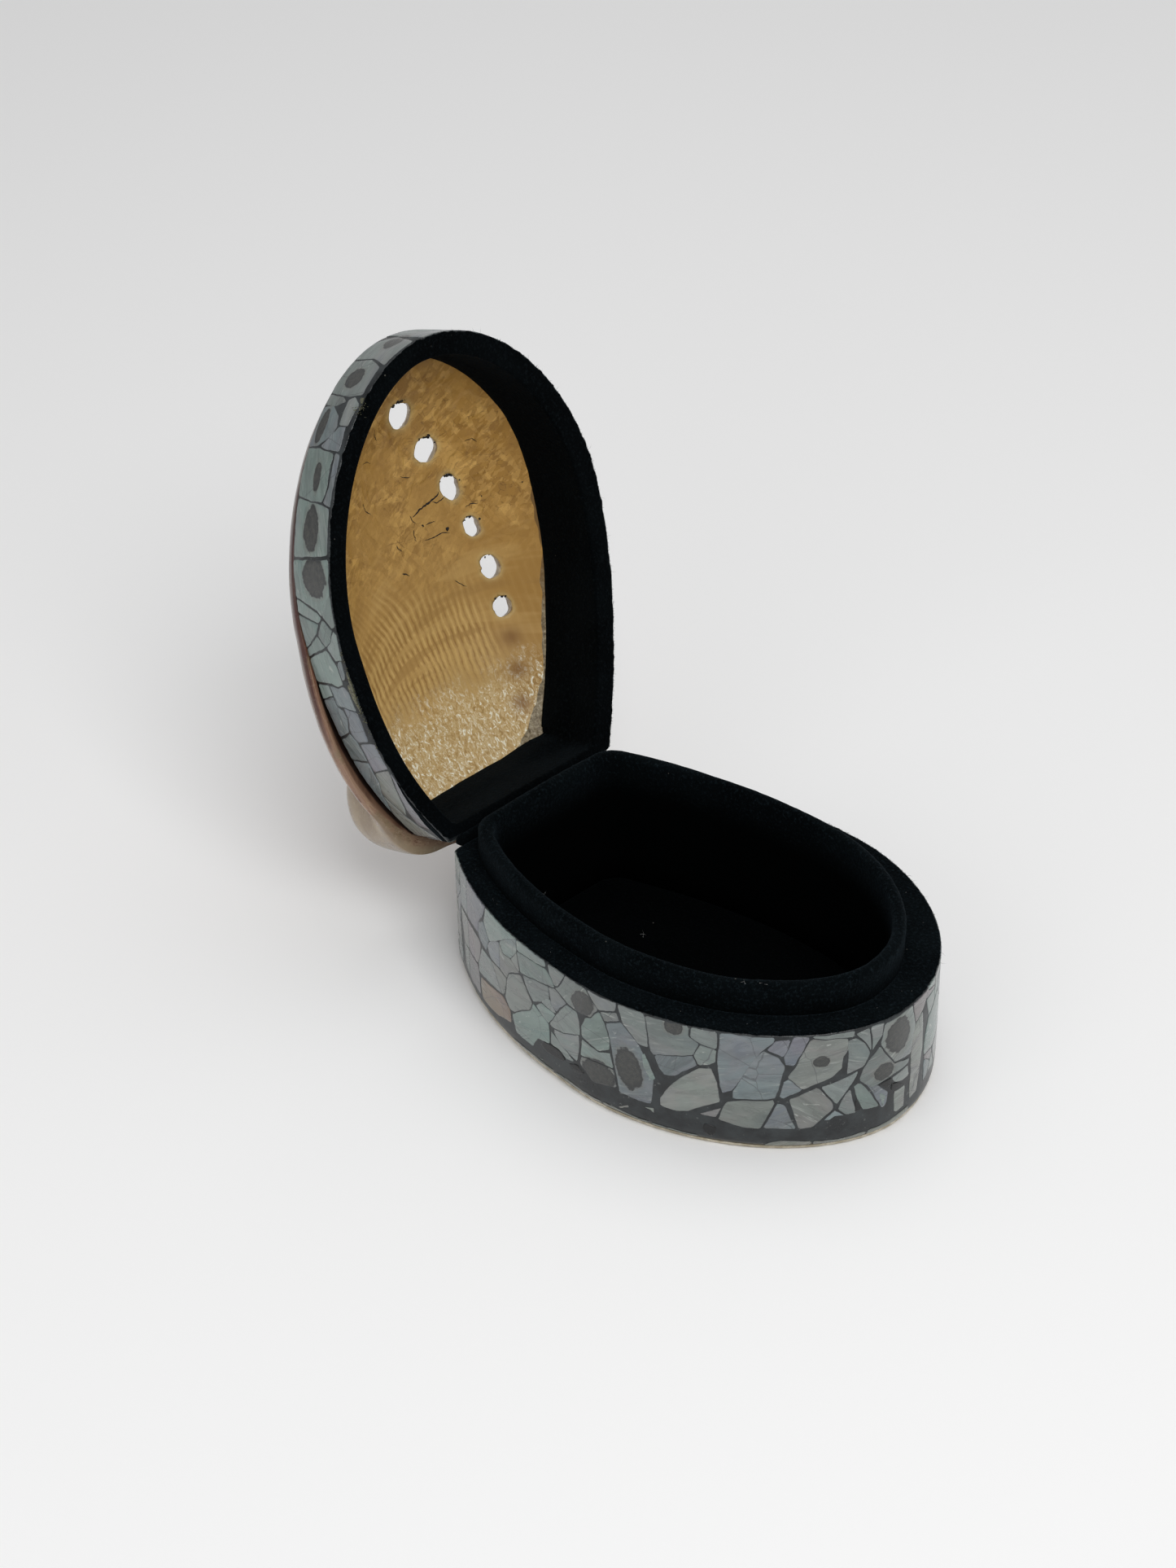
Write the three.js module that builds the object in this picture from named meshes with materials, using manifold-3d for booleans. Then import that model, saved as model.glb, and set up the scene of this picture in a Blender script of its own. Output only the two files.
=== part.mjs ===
// A trinket box with an abalone shell for a lid: an egg-shaped tray clad in a shell mosaic and lined in
// velvet, cut off flat at the hinge end. The lid stands open. Millimetres, +X from the hinge end to the
// tip, +Z up, and the origin is in the middle of the underside.
import * as THREE from "three";
import { mergeVertices } from "three/addons/utils/BufferGeometryUtils.js";
import Module from "manifold-3d";

const wasm = await Module();
wasm.setup();

// Plan of the box
const LENGTH = 90; // hinge end to tip
const HALF_WIDTH = 33;
const TIP_Y = 2.2; // the tip lies a little to the far side
const SIDES = [
  // half width at the hinge end, distance of the widest place from it, and how full the curves are
  { sign: -1, hingeWidth: 22.1, widestAt: 43.7, taper: 2.6, along: 1.8, across: 1.8 },
  { sign: 1, hingeWidth: 18.1, widestAt: 53.5, taper: 1.8, along: 1.84, across: 2.11 },
];
const CORNER_ROUNDING = 1.5; // of the two corners at the hinge end
const COLLAR_ROUNDING = 5;
const TOUCH_GAP = 0.3; // left between pieces that are glued together

// Heights of the base
const BASE_HEIGHT = 26.8; // top edge of the mosaic
const HINGE_Z = 27.1;
const PLATE_THICKNESS = 0.8;
const PLATE_INSET = 0.7;
const FLOOR_THICKNESS = 2.2;
const MOSAIC_THICKNESS = 1.0;
const FOOT_ROUNDING = 2.2; // height of the round bottom edge of the mosaic
const FOOT_INSET = 0.6; // how far that edge turns in
const VELVET = 0.6;
const LEDGE_TOP = 26.9;
const COLLAR_INSET = 5.7; // outer face of the collar
const COLLAR_FIT = { stretch: 1.03, x: -1.2, y: -0.8 }; // it sits nearer the hinge and the near side
const COLLAR_THICKNESS = 2.5;
const COLLAR_RISE = 6.8; // above the ledge

// Lid, in its own frame: u from the hinge axis to the tip, h away from the closed base
const OPEN_ANGLE = THREE.MathUtils.degToRad(110.8);
const LID_EDGE = 0.3; // mosaic edge above the hinge axis when closed
const LID_VELVET_FACE = 0.2;
const LID_WALL = 11.4; // outer height of the lid's wall
const LID_LINING_INSET = 3.9; // inner face of the velvet
const LID_LINING_THICKNESS = 0.6;
const LINING_FIT = { stretch: 1.015, x: -0.5, y: -0.5 };

// Abalone shell
const SHELL_SEAT = LID_WALL + TOUCH_GAP;
const GLUE_BED = 0.5; // between the lid's wall and the shell
const SHELL_PROUD = 0.3; // its edge stands out past the wall halfway along
const SHELL_LEAN = 1.6; // and this much more at the hinge end, less at the tip
const SHELL_FLARE = 3; // and more again towards the near corner of the hinge end
const SHELL_CAP = { x: 8.5, y: -2, along: 60, across: 60 }; // oval that rounds it off past the hinge end
const CAP_BLEND = 20;
const SHELL_EDGE_WIDTH = 1.6;
const SHELL_EDGE_THICKNESS = 1.7;
const DOME_RISE = 12.5;
const DOME_FULLNESS = 2.3;
const SPIRE = { u: 6.2, y: -18.6, h: 17, radiusU: 11, radiusY: 9.4, radiusH: 8.5 };
const SPIRE_BLEND = 60; // higher is a sharper crease between spire and dome
const HOLE_COUNT = 6;
const HOLE_SPIRAL = { u: 8, y: -18, radius: 92, shrink: 0.78 };
const HOLE_ANGLES = { firstDeg: 20.5, stepDeg: 6.6, stepGrowth: 0.2 }; // about the spiral's middle
const HOLE_LENGTH = 5.2; // of the newest hole, nearest the tip
const HOLE_WIDTH = 4.4;
const HOLE_LENGTH_LOSS = 0.16; // each older hole is this much shorter

// Hinge of folded velvet
const HINGE_ROLL_RADIUS = 0.9;
const HINGE_ROLL_MARGIN = 2; // from each corner of the hinge end
const HINGE_CLEARANCE = 1.25;

const OUTLINE_STEPS = 28; // along each side, from hinge corner to tip
const END_STEPS = 8; // across the hinge end
const DENSE = 6; // finer steps for the offset curves

// y of one side of the plan at distance u from the hinge end.
function sideY(side, u) {
  const { sign, hingeWidth, widestAt, taper, along, across } = side;
  if (u < widestAt) {
    const back = (widestAt - u) / widestAt;
    return sign * (HALF_WIDTH - (HALF_WIDTH - hingeWidth) * back ** taper);
  }
  const ahead = Math.min((u - widestAt) / (LENGTH - widestAt), 1);
  const reach = HALF_WIDTH - sign * TIP_Y;
  return TIP_Y + sign * reach * (1 - ahead ** along) ** (1 / across);
}

// The plan as a closed loop about the middle, anticlockwise from the near hinge corner.
function planLoop(steps, endSteps) {
  const place = (k) => LENGTH * Math.sin((k / steps) * (Math.PI / 2));
  const loop = [];
  for (let k = 0; k < steps; k++) loop.push([place(k), sideY(SIDES[0], place(k))]);
  for (let k = steps; k >= 0; k--) loop.push([place(k), sideY(SIDES[1], place(k))]);
  const from = loop[loop.length - 1][1];
  const to = loop[0][1];
  for (let k = 1; k < endSteps; k++) loop.push([0, from + ((to - from) * k) / endSteps]);
  return loop.map(([u, y]) => [u - LENGTH / 2, y]);
}

const denseLoop = planLoop(OUTLINE_STEPS * DENSE, END_STEPS * DENSE);
const ANGLES = planLoop(OUTLINE_STEPS, END_STEPS).map(([x, y]) => Math.atan2(y, x));

// Each edge of the plan as the direction of its outward normal and its distance from the middle.
const edges = denseLoop.map(([x0, y0], k) => {
  const [x1, y1] = denseLoop[(k + 1) % denseLoop.length];
  const length = Math.hypot(x1 - x0, y1 - y0);
  const normal = [(y1 - y0) / length, (x0 - x1) / length];
  return { normal, distance: x0 * normal[0] + y0 * normal[1] };
});

// Radius of the plan, moved in by inset, in one direction from the middle.
function insetRadius(angle, inset, from = edges) {
  const c = Math.cos(angle);
  const s = Math.sin(angle);
  let radius = Infinity;
  for (const { normal, distance } of from) {
    const facing = c * normal[0] + s * normal[1];
    if (facing > 1e-6) radius = Math.min(radius, (distance - inset) / facing);
  }
  return radius;
}

// The plan moved in by inset, with its corners rounded, as a point for each of ANGLES.
const planCache = new Map();
function plan(inset, rounding = CORNER_ROUNDING) {
  const key = `${inset}/${rounding}`;
  if (planCache.has(key)) return planCache.get(key);
  const centres = denseLoop.map(([x, y]) => {
    const angle = Math.atan2(y, x);
    const radius = insetRadius(angle, inset + rounding);
    return [radius * Math.cos(angle), radius * Math.sin(angle)];
  });
  const points = ANGLES.map((angle) => {
    const c = Math.cos(angle);
    const s = Math.sin(angle);
    let radius = 0;
    for (const [x, y] of centres) {
      const ahead = x * c + y * s;
      const aside = x * s - y * c;
      if (Math.abs(aside) < rounding) {
        radius = Math.max(radius, ahead + Math.sqrt(rounding ** 2 - aside ** 2));
      }
    }
    return [radius * c, radius * s];
  });
  planCache.set(key, points);
  return points;
}

// The plan loop of a piece that doesn't lie quite in the middle of the box.
function fitted({ stretch, x, y }, inset, rounding) {
  return plan(inset, rounding).map(([px, py]) => [px * stretch + x, py + y]);
}

// A loop at one height, or at a height worked out for each of its points.
function level(points, height) {
  return points.map(([x, y]) => [x, y, typeof height === "function" ? height(x, y) : height]);
}

// Solid between loops of equal length: the last joins the first, or each end closes to its middle.
function loft(loops, closed) {
  const count = ANGLES.length;
  const positions = loops.flat(2);
  const indices = [];
  const join = (a, b) => {
    for (let k = 0; k < count; k++) {
      const next = (k + 1) % count;
      indices.push(a * count + k, a * count + next, b * count + next);
      indices.push(a * count + k, b * count + next, b * count + k);
    }
  };
  for (let j = 0; j + 1 < loops.length; j++) join(j, j + 1);
  if (closed) join(loops.length - 1, 0);
  else {
    for (const [j, turned] of [[0, true], [loops.length - 1, false]]) {
      const middle = positions.length / 3;
      const height = loops[j].reduce((sum, p) => sum + p[2], 0) / count;
      positions.push(0, 0, height);
      for (let k = 0; k < count; k++) {
        const here = j * count + k;
        const next = j * count + ((k + 1) % count);
        indices.push(...(turned ? [middle, next, here] : [middle, here, next]));
      }
    }
  }
  const geometry = new THREE.BufferGeometry();
  geometry.setAttribute("position", new THREE.Float32BufferAttribute(positions, 3));
  geometry.setIndex(indices);
  geometry.computeVertexNormals();
  return geometry;
}

// Ring whose section is a closed list of [inset, height] corners, clockwise seen along the ring.
function ring(section) {
  return loft(section.map(([inset, height]) => level(plan(inset), height)), true);
}

function toManifold(geometry) {
  const bare = geometry.clone();
  bare.deleteAttribute("normal");
  bare.deleteAttribute("uv");
  const merged = mergeVertices(bare, 1e-4);
  return new wasm.Manifold(
    new wasm.Mesh({
      numProp: 3,
      vertProperties: new Float32Array(merged.attributes.position.array),
      triVerts: new Uint32Array(merged.index.array),
    }),
  );
}

function fromManifold(solid) {
  const { vertProperties, triVerts } = solid.getMesh();
  const geometry = new THREE.BufferGeometry();
  geometry.setAttribute("position", new THREE.Float32BufferAttribute(vertProperties, 3));
  geometry.setIndex(Array.from(triVerts));
  geometry.computeVertexNormals();
  return geometry;
}

// Geometry with the tools cut away.
function cut(geometry, tools) {
  let solid = toManifold(geometry);
  for (const tool of tools) solid = solid.subtract(toManifold(tool));
  return fromManifold(solid);
}

// Cylinder along Y about the hinge axis, in the frame of the plan.
function hingeCylinder(radius, fromY, toY, axisHeight) {
  return new THREE.CylinderGeometry(radius, radius, toY - fromY, 24)
    .translate(0, (fromY + toY) / 2, 0)
    .rotateY(Math.PI / 24)
    .translate(-LENGTH / 2, 0, axisHeight);
}

const hingeRoom = (axisHeight) => hingeCylinder(HINGE_CLEARANCE, -2 * HALF_WIDTH, 2 * HALF_WIDTH, axisHeight);

// Base

function basePlate() {
  const outline = plan(PLATE_INSET);
  const edge = plan(PLATE_INSET + 0.3);
  return loft([level(edge, 0), level(outline, 0.3), level(outline, PLATE_THICKNESS)], false);
}

const trayFloor = PLATE_THICKNESS + TOUCH_GAP;
const floorTop = trayFloor + FLOOR_THICKNESS;
const bodyInset = MOSAIC_THICKNESS + TOUCH_GAP;
const bodyInner = COLLAR_INSET - TOUCH_GAP;
const ledgeUnder = LEDGE_TOP - VELVET;

function baseBody() {
  const loops = [
    level(plan(bodyInset), trayFloor),
    level(plan(bodyInset), ledgeUnder - TOUCH_GAP),
    level(fitted(COLLAR_FIT, bodyInner, COLLAR_ROUNDING), ledgeUnder - TOUCH_GAP),
    level(fitted(COLLAR_FIT, bodyInner, COLLAR_ROUNDING), floorTop),
  ];
  return cut(loft(loops, false), [hingeRoom(HINGE_Z)]);
}

function baseMosaic() {
  const foot = [];
  for (let k = 0; k <= 3; k++) {
    const turn = (k / 3) * (Math.PI / 2);
    foot.push([FOOT_INSET * (1 - Math.sin(turn)), trayFloor + FOOT_ROUNDING * (1 - Math.cos(turn))]);
  }
  const top = [
    [0, BASE_HEIGHT - 0.2],
    [0.2, BASE_HEIGHT],
    [MOSAIC_THICKNESS, BASE_HEIGHT],
    [MOSAIC_THICKNESS, trayFloor],
  ];
  return cut(ring([...foot, ...top]), [hingeRoom(HINGE_Z)]);
}

function ledgeVelvet() {
  const outer = plan(bodyInset);
  const inner = fitted(COLLAR_FIT, bodyInner, COLLAR_ROUNDING);
  const loops = [
    level(outer, ledgeUnder),
    level(outer, LEDGE_TOP),
    level(inner, LEDGE_TOP),
    level(inner, ledgeUnder),
  ];
  return cut(loft(loops, true), [hingeRoom(HINGE_Z)]);
}

function collar() {
  const bottom = floorTop + TOUCH_GAP;
  const top = LEDGE_TOP + COLLAR_RISE;
  const half = COLLAR_THICKNESS / 2;
  const section = [[COLLAR_INSET, bottom]];
  for (let k = 0; k <= 4; k++) {
    const turn = (k / 4) * Math.PI;
    section.push([COLLAR_INSET + half * (1 - Math.cos(turn)), top - half + half * Math.sin(turn)]);
  }
  section.push([COLLAR_INSET + COLLAR_THICKNESS, bottom]);
  const loops = section.map(([inset, height]) => level(fitted(COLLAR_FIT, inset, COLLAR_ROUNDING), height));
  return loft(loops, true);
}

function floorPad() {
  const inset = COLLAR_INSET + COLLAR_THICKNESS + TOUCH_GAP;
  const bottom = floorTop + TOUCH_GAP;
  const outline = fitted(COLLAR_FIT, inset, COLLAR_ROUNDING);
  return loft([level(outline, bottom), level(outline, bottom + 1)], false);
}

function hingeRoll() {
  const near = -SIDES[0].hingeWidth + HINGE_ROLL_MARGIN;
  const far = SIDES[1].hingeWidth - HINGE_ROLL_MARGIN;
  return hingeCylinder(HINGE_ROLL_RADIUS, near, far, HINGE_Z);
}

// Lid, closed: built over the plan with h as its height, and turned by its group

const sideEdges = edges.filter(({ normal }) => normal[0] > -0.99);

// Radius of the shell's edge: it follows the two sides and runs on past the hinge end to a rounded cap.
function shellRadius(angle) {
  const c = Math.cos(angle);
  const s = Math.sin(angle);
  const { x, y, along, across } = SHELL_CAP;
  const a = (c / along) ** 2 + (s / across) ** 2;
  const b = (c * x) / along ** 2 + (s * y) / across ** 2;
  const d = (x / along) ** 2 + (y / across) ** 2 - 1;
  const cap = (b + Math.sqrt(b * b - a * d)) / a;
  const flare = SHELL_FLARE * Math.max(0, -c) * Math.max(0, -s);
  const sides = insetRadius(angle, SHELL_LEAN * c - SHELL_PROUD - flare, sideEdges);
  return (cap ** -CAP_BLEND + sides ** -CAP_BLEND) ** (-1 / CAP_BLEND);
}

const shellLoop = (inset) =>
  ANGLES.map((angle) => {
    const radius = shellRadius(angle) - inset;
    return [radius * Math.cos(angle), radius * Math.sin(angle)];
  });
const domeRise = (share) => DOME_RISE * (1 - Math.min(share, 1) ** DOME_FULLNESS);

// Height of the shell's inner face over a point of the plan.
function innerHeight(x, y) {
  return SHELL_SEAT + domeRise(Math.hypot(x, y) / (shellRadius(Math.atan2(y, x)) - SHELL_EDGE_WIDTH));
}

// How far a point lies from the spire's middle, where 1 is its surface: round in plan, flatter on top.
function spireField(x, y, h) {
  const across = ((x + LENGTH / 2 - SPIRE.u) / SPIRE.radiusU) ** 2 + ((y - SPIRE.y) / SPIRE.radiusY) ** 2;
  return across ** 2 + ((h - SPIRE.h) / SPIRE.radiusH) ** 4;
}

// Distance from the middle of the seat plane to the far side of the spire, or 0 where it isn't met.
function spireReach([x, y, h]) {
  const inside = (reach) => spireField(x * reach, y * reach, SHELL_SEAT + h * reach) < 1;
  let far = 80;
  while (far > 0 && !inside(far)) far -= 0.5;
  if (far <= 0) return 0;
  let near = far;
  far += 0.5;
  for (let k = 0; k < 12; k++) {
    const middle = (near + far) / 2;
    if (inside(middle)) near = middle;
    else far = middle;
  }
  return near;
}

// A point of the dome pushed out to the spire where that reaches further.
function withSpire([x, y, h]) {
  const reach = Math.hypot(x, y, h - SHELL_SEAT);
  const direction = [x / reach, y / reach, (h - SHELL_SEAT) / reach];
  const spire = spireReach(direction) / reach;
  const scale = spire > 0.5 ? (1 + spire ** SPIRE_BLEND) ** (1 / SPIRE_BLEND) : 1;
  return [x * scale, y * scale, SHELL_SEAT + (h - SHELL_SEAT) * scale];
}

const scaled = (points, share) => points.map(([x, y]) => [x * share, y * share]);
const DOME_SHARES = [0.12, 0.3, 0.45, 0.58, 0.68, 0.77, 0.84, 0.9, 0.95];

function shellBody() {
  const edgeTop = SHELL_SEAT + SHELL_EDGE_THICKNESS;
  const innerEdge = shellLoop(SHELL_EDGE_WIDTH);
  const outerEdge = shellLoop(0);
  const inner = DOME_SHARES.map((share) => level(scaled(innerEdge, share), SHELL_SEAT + domeRise(share)));
  inner.push(level(innerEdge, SHELL_SEAT));
  const outer = [
    level(outerEdge, SHELL_SEAT),
    level(outerEdge, SHELL_SEAT + 0.6 * SHELL_EDGE_THICKNESS),
    level(scaled(outerEdge, 0.985), edgeTop + 0.2),
  ];
  for (const share of [...DOME_SHARES].reverse()) {
    outer.push(level(scaled(outerEdge, share), edgeTop + domeRise(share)));
  }
  return loft([...inner, ...outer.map((loop) => loop.map(withSpire))], false);
}

// Cutters for the open holes, oval and square to the dome, along a spiral about the spire.
function shellHoles() {
  const cutters = [];
  for (let k = 0; k < HOLE_COUNT; k++) {
    const turn = THREE.MathUtils.degToRad(
      HOLE_ANGLES.firstDeg + k * (HOLE_ANGLES.stepDeg + k * HOLE_ANGLES.stepGrowth),
    );
    const radius = HOLE_SPIRAL.radius * Math.exp(-HOLE_SPIRAL.shrink * turn);
    const x = HOLE_SPIRAL.u + radius * Math.cos(turn) - LENGTH / 2;
    const y = HOLE_SPIRAL.y + radius * Math.sin(turn);
    const h = innerHeight(x, y);
    const step = 0.5;
    const slopeX = (innerHeight(x + step, y) - innerHeight(x - step, y)) / (2 * step);
    const slopeY = (innerHeight(x, y + step) - innerHeight(x, y - step)) / (2 * step);
    const normal = new THREE.Vector3(-slopeX, -slopeY, 1).normalize();
    // The row runs at this angle, and each oval lies along it.
    const heading = turn + Math.PI / 2 + Math.atan(HOLE_SPIRAL.shrink);
    const length = HOLE_LENGTH - k * HOLE_LENGTH_LOSS;
    const oval = new THREE.CylinderGeometry(HOLE_WIDTH / 2, HOLE_WIDTH / 2, 12, 20)
      .rotateX(Math.PI / 2)
      .scale(length / HOLE_WIDTH, 1, 1)
      .rotateZ(heading);
    oval.applyQuaternion(new THREE.Quaternion().setFromUnitVectors(new THREE.Vector3(0, 0, 1), normal));
    cutters.push(oval.translate(x, y, h));
  }
  return cutters;
}

function lidMosaic() {
  const section = [
    [0, LID_EDGE],
    [0, LID_WALL - 0.3],
    [0.3, LID_WALL],
    [MOSAIC_THICKNESS, LID_WALL],
    [MOSAIC_THICKNESS, LID_EDGE],
  ];
  return cut(ring(section), [hingeRoom(0)]);
}

const underShell = (x, y) => innerHeight(x, y) - GLUE_BED;
const liningBack = LID_LINING_INSET - LID_LINING_THICKNESS;
const faceBack = LID_VELVET_FACE + VELVET;

function lidFrame() {
  const inner = fitted(LINING_FIT, liningBack - TOUCH_GAP);
  const outer = plan(bodyInset);
  const bottom = faceBack + TOUCH_GAP;
  const loops = [level(outer, bottom), level(outer, underShell), level(inner, underShell), level(inner, bottom)];
  return cut(loft(loops, true), [hingeRoom(0)]);
}

function lidLining() {
  const loops = [
    level(fitted(LINING_FIT, LID_LINING_INSET), LID_VELVET_FACE),
    level(plan(bodyInset), LID_VELVET_FACE),
    level(plan(bodyInset), faceBack),
    level(fitted(LINING_FIT, liningBack), faceBack),
    level(fitted(LINING_FIT, liningBack), underShell),
    level(fitted(LINING_FIT, LID_LINING_INSET), underShell),
  ];
  return cut(loft(loops, true), [hingeRoom(0)]);
}

const velvet = { color: 0x07080b, roughness: 0.95, metalness: 0 };
const nacre = { color: 0x8f9d9c, roughness: 0.18, metalness: 0.05 };
const board = { color: 0xb9ad97, roughness: 0.8, metalness: 0 };
const abalone = { color: 0xb98f62, roughness: 0.35, metalness: 0 };
const laminate = { color: 0xd9d4c6, roughness: 0.5, metalness: 0 };

function piece(name, geometry, look) {
  const mesh = new THREE.Mesh(geometry, new THREE.MeshStandardMaterial(look));
  mesh.name = name;
  return mesh;
}

const box = new THREE.Group();
box.add(
  piece("base_plate", basePlate(), laminate),
  piece("base_body", baseBody(), board),
  piece("base_mosaic", baseMosaic(), nacre),
  piece("ledge_velvet", ledgeVelvet(), velvet),
  piece("collar_velvet", collar(), velvet),
  piece("floor_velvet", floorPad(), velvet),
  piece("hinge_velvet", hingeRoll(), velvet),
);

// The lid's pieces are moved so that the hinge axis is the origin of the group that turns them.
const lid = new THREE.Group();
lid.position.set(-LENGTH / 2, 0, HINGE_Z);
lid.rotation.y = -OPEN_ANGLE;
for (const part of [
  piece("lid_frame", lidFrame(), board),
  piece("lid_mosaic", lidMosaic(), nacre),
  piece("lid_velvet", lidLining(), velvet),
  piece("lid_shell", cut(shellBody(), shellHoles()), abalone),
]) {
  part.position.x = LENGTH / 2;
  lid.add(part);
}
box.add(lid);

export default box;
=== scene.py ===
import math

import bpy
import numpy as np
from mathutils import Matrix


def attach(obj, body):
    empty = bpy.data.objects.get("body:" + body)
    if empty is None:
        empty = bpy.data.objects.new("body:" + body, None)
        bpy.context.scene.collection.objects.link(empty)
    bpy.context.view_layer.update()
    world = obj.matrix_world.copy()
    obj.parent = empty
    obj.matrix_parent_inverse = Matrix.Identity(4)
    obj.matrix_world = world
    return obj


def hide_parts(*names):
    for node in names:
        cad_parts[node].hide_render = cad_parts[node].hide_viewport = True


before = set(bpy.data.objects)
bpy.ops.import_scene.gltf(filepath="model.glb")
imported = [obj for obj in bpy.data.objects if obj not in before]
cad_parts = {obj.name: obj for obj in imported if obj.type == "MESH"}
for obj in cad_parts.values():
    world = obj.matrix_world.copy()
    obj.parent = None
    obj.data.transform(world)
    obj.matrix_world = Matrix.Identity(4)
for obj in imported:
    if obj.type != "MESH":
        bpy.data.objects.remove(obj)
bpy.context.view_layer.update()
MM = 0.001

# Plan, the same as the solids'
LENGTH, HALF_WIDTH, TIP_Y = 90.0, 33.0, 2.2
SIDES = ((-1, 22.1, 43.7, 2.6, 1.8, 1.8), (1, 18.1, 53.5, 1.8, 1.84, 2.11))
COLLAR_FIT = (1.03, -1.2, -0.8)
LINING_FIT = (1.015, -0.5, -0.5)
BASE_TOP, HINGE_Z, TRAY = 26.8, 27.1, 1.1
OPEN = math.radians(110.8)
LID_WALL = 11.4
SEAT = LID_WALL + 0.3
EDGE_WIDTH, EDGE_THICKNESS = 1.6, 1.7
DOME_RISE, DOME_FULLNESS = 12.5, 2.3
SPIRE = dict(u=6.2, y=-18.6, h=17.0, ru=11.0, ry=9.4, rh=8.5)
NUCLEUS = (8.0, -18.0)
HINGE_ROOM = 1.3
COLLAR_FOOT, COLLAR_TOP, COLLAR_BEND = 3.6, 33.7, 5.0
COLLAR_OUTER, COLLAR_INNER = 5.7, 8.2
PAD_FOOT, PAD_TOP = 3.65, 4.6
LEDGE_FOOT, FIBRE_TOP, FIBRE_LOW = 26.32, 27.08, 0.03
LINING_OPENING, LINING_BACK = 4.25, 3.3
CHIP_FOOT = 0.24


def side_y(side, u):
    sign, width, widest, taper, along, across = side
    back = np.clip((widest - u) / widest, 0, None)
    ahead = np.clip((u - widest) / (LENGTH - widest), 0, 1)
    rounded = TIP_Y + sign * (HALF_WIDTH - sign * TIP_Y) * (1 - ahead**along) ** (1 / across)
    return np.where(u < widest, sign * (HALF_WIDTH - (HALF_WIDTH - width) * back**taper), rounded)


def dense_plan(steps=336, end_steps=60):
    rise = LENGTH * np.sin(np.arange(steps) / steps * np.pi / 2)
    fall = LENGTH * np.sin(np.arange(steps, -1, -1) / steps * np.pi / 2)
    near = np.c_[rise, side_y(SIDES[0], rise)]
    far = np.c_[fall, side_y(SIDES[1], fall)]
    end = np.linspace(far[-1], near[0], end_steps + 1)[1:-1]
    loop = np.vstack([near, far, end])
    loop[:, 0] -= LENGTH / 2
    return loop


DENSE = dense_plan()
_edge = np.roll(DENSE, -1, 0) - DENSE
NORMALS = np.c_[_edge[:, 1], -_edge[:, 0]] / np.hypot(*_edge.T)[:, None]
DISTANCES = (DENSE * NORMALS).sum(1)
ON_SIDES = NORMALS[:, 0] > -0.99


def inset_radius(angles, inset, keep=slice(None)):
    n, d = NORMALS[keep], DISTANCES[keep]
    facing = np.outer(np.cos(angles), n[:, 0]) + np.outer(np.sin(angles), n[:, 1])
    reach = d[None] - (inset[:, None] if np.ndim(inset) else inset)
    return np.where(facing > 1e-6, reach / np.maximum(facing, 1e-6), np.inf).min(1)


def plan(angles, inset, rounding=1.5):
    """Points of the plan moved in by inset, with rounded corners."""
    middle = np.arctan2(DENSE[:, 1], DENSE[:, 0])
    radius = inset_radius(middle, inset + rounding)
    centres = np.c_[radius * np.cos(middle), radius * np.sin(middle)]
    c, s = np.cos(angles)[:, None], np.sin(angles)[:, None]
    ahead = centres[:, 0] * c + centres[:, 1] * s
    aside = centres[:, 0] * s - centres[:, 1] * c
    on_arc = np.sqrt(np.clip(rounding**2 - aside**2, 0, None))
    far = np.where(np.abs(aside) < rounding, ahead + on_arc, 0).max(1)
    return np.c_[far * np.cos(angles), far * np.sin(angles)]


def fitted(fit, points):
    return np.c_[points[:, 0] * fit[0] + fit[1], points[:, 1] + fit[2]]


class Track:
    """A closed loop that is walked by its length."""

    def __init__(self, points):
        step = np.hypot(*(np.roll(points, -1, 0) - points).T)
        self.s = np.r_[0, np.cumsum(step)]
        self.total = self.s[-1]
        along = np.roll(points, -1, 0) - np.roll(points, 1, 0)
        normal = np.c_[along[:, 1], -along[:, 0]] / np.hypot(*along.T)[:, None]
        self.table = np.hstack([points, normal])
        self.table = np.vstack([self.table, self.table[:1]])

    def at(self, s, inset=0.0):
        s = np.mod(s, self.total)
        x, y, nx, ny = (np.interp(s, self.s, column) for column in self.table.T)
        return x - nx * inset, y - ny * inset


_even = Track(DENSE)
_x, _y = _even.at(np.linspace(0, _even.total, 1400, endpoint=False))
OUTER = Track(plan(np.arctan2(_y, _x), 0.0))
_x, _y = _even.at(np.linspace(0, _even.total, 640, endpoint=False))
ANGLES = np.arctan2(_y, _x)


def field(seed, wavelength, waves=14):
    """A smooth random height over any number of coordinates, about -1 to 1."""
    rng = np.random.RandomState(seed)
    turn = rng.normal(size=(waves, 3))
    turn *= (2 * np.pi / wavelength * rng.uniform(0.6, 1.5, waves) / np.linalg.norm(turn, axis=1))[:, None]
    phase = rng.uniform(0, 2 * np.pi, waves)

    def height(*coords):
        total = 0
        for k, p in zip(turn, phase):
            total = total + np.sin(sum(c * w for c, w in zip(coords, k)) + p)
        return total * math.sqrt(2 / waves) / 1.6

    return height


def ringwise(s, z=0.0):
    """Coordinates that close up round the box, for the random fields."""
    turn = 2 * np.pi * np.asarray(s) / OUTER.total
    radius = OUTER.total / (2 * np.pi)
    return radius * np.cos(turn), radius * np.sin(turn), z + 0 * turn


def smooth(x, low, high):
    t = np.clip((x - low) / (high - low), 0, 1)
    return t * t * (3 - 2 * t)


def lid_to_rest(points):
    """From the closed lid over the plan to where it stands open."""
    x, y, h = np.asarray(points, float).T
    u = x + LENGTH / 2
    c, s = math.cos(OPEN), math.sin(OPEN)
    return np.c_[-LENGTH / 2 + u * c - h * s, y, HINGE_Z + u * s + h * c]


def link(thing):
    bpy.context.scene.collection.objects.link(thing)


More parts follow.
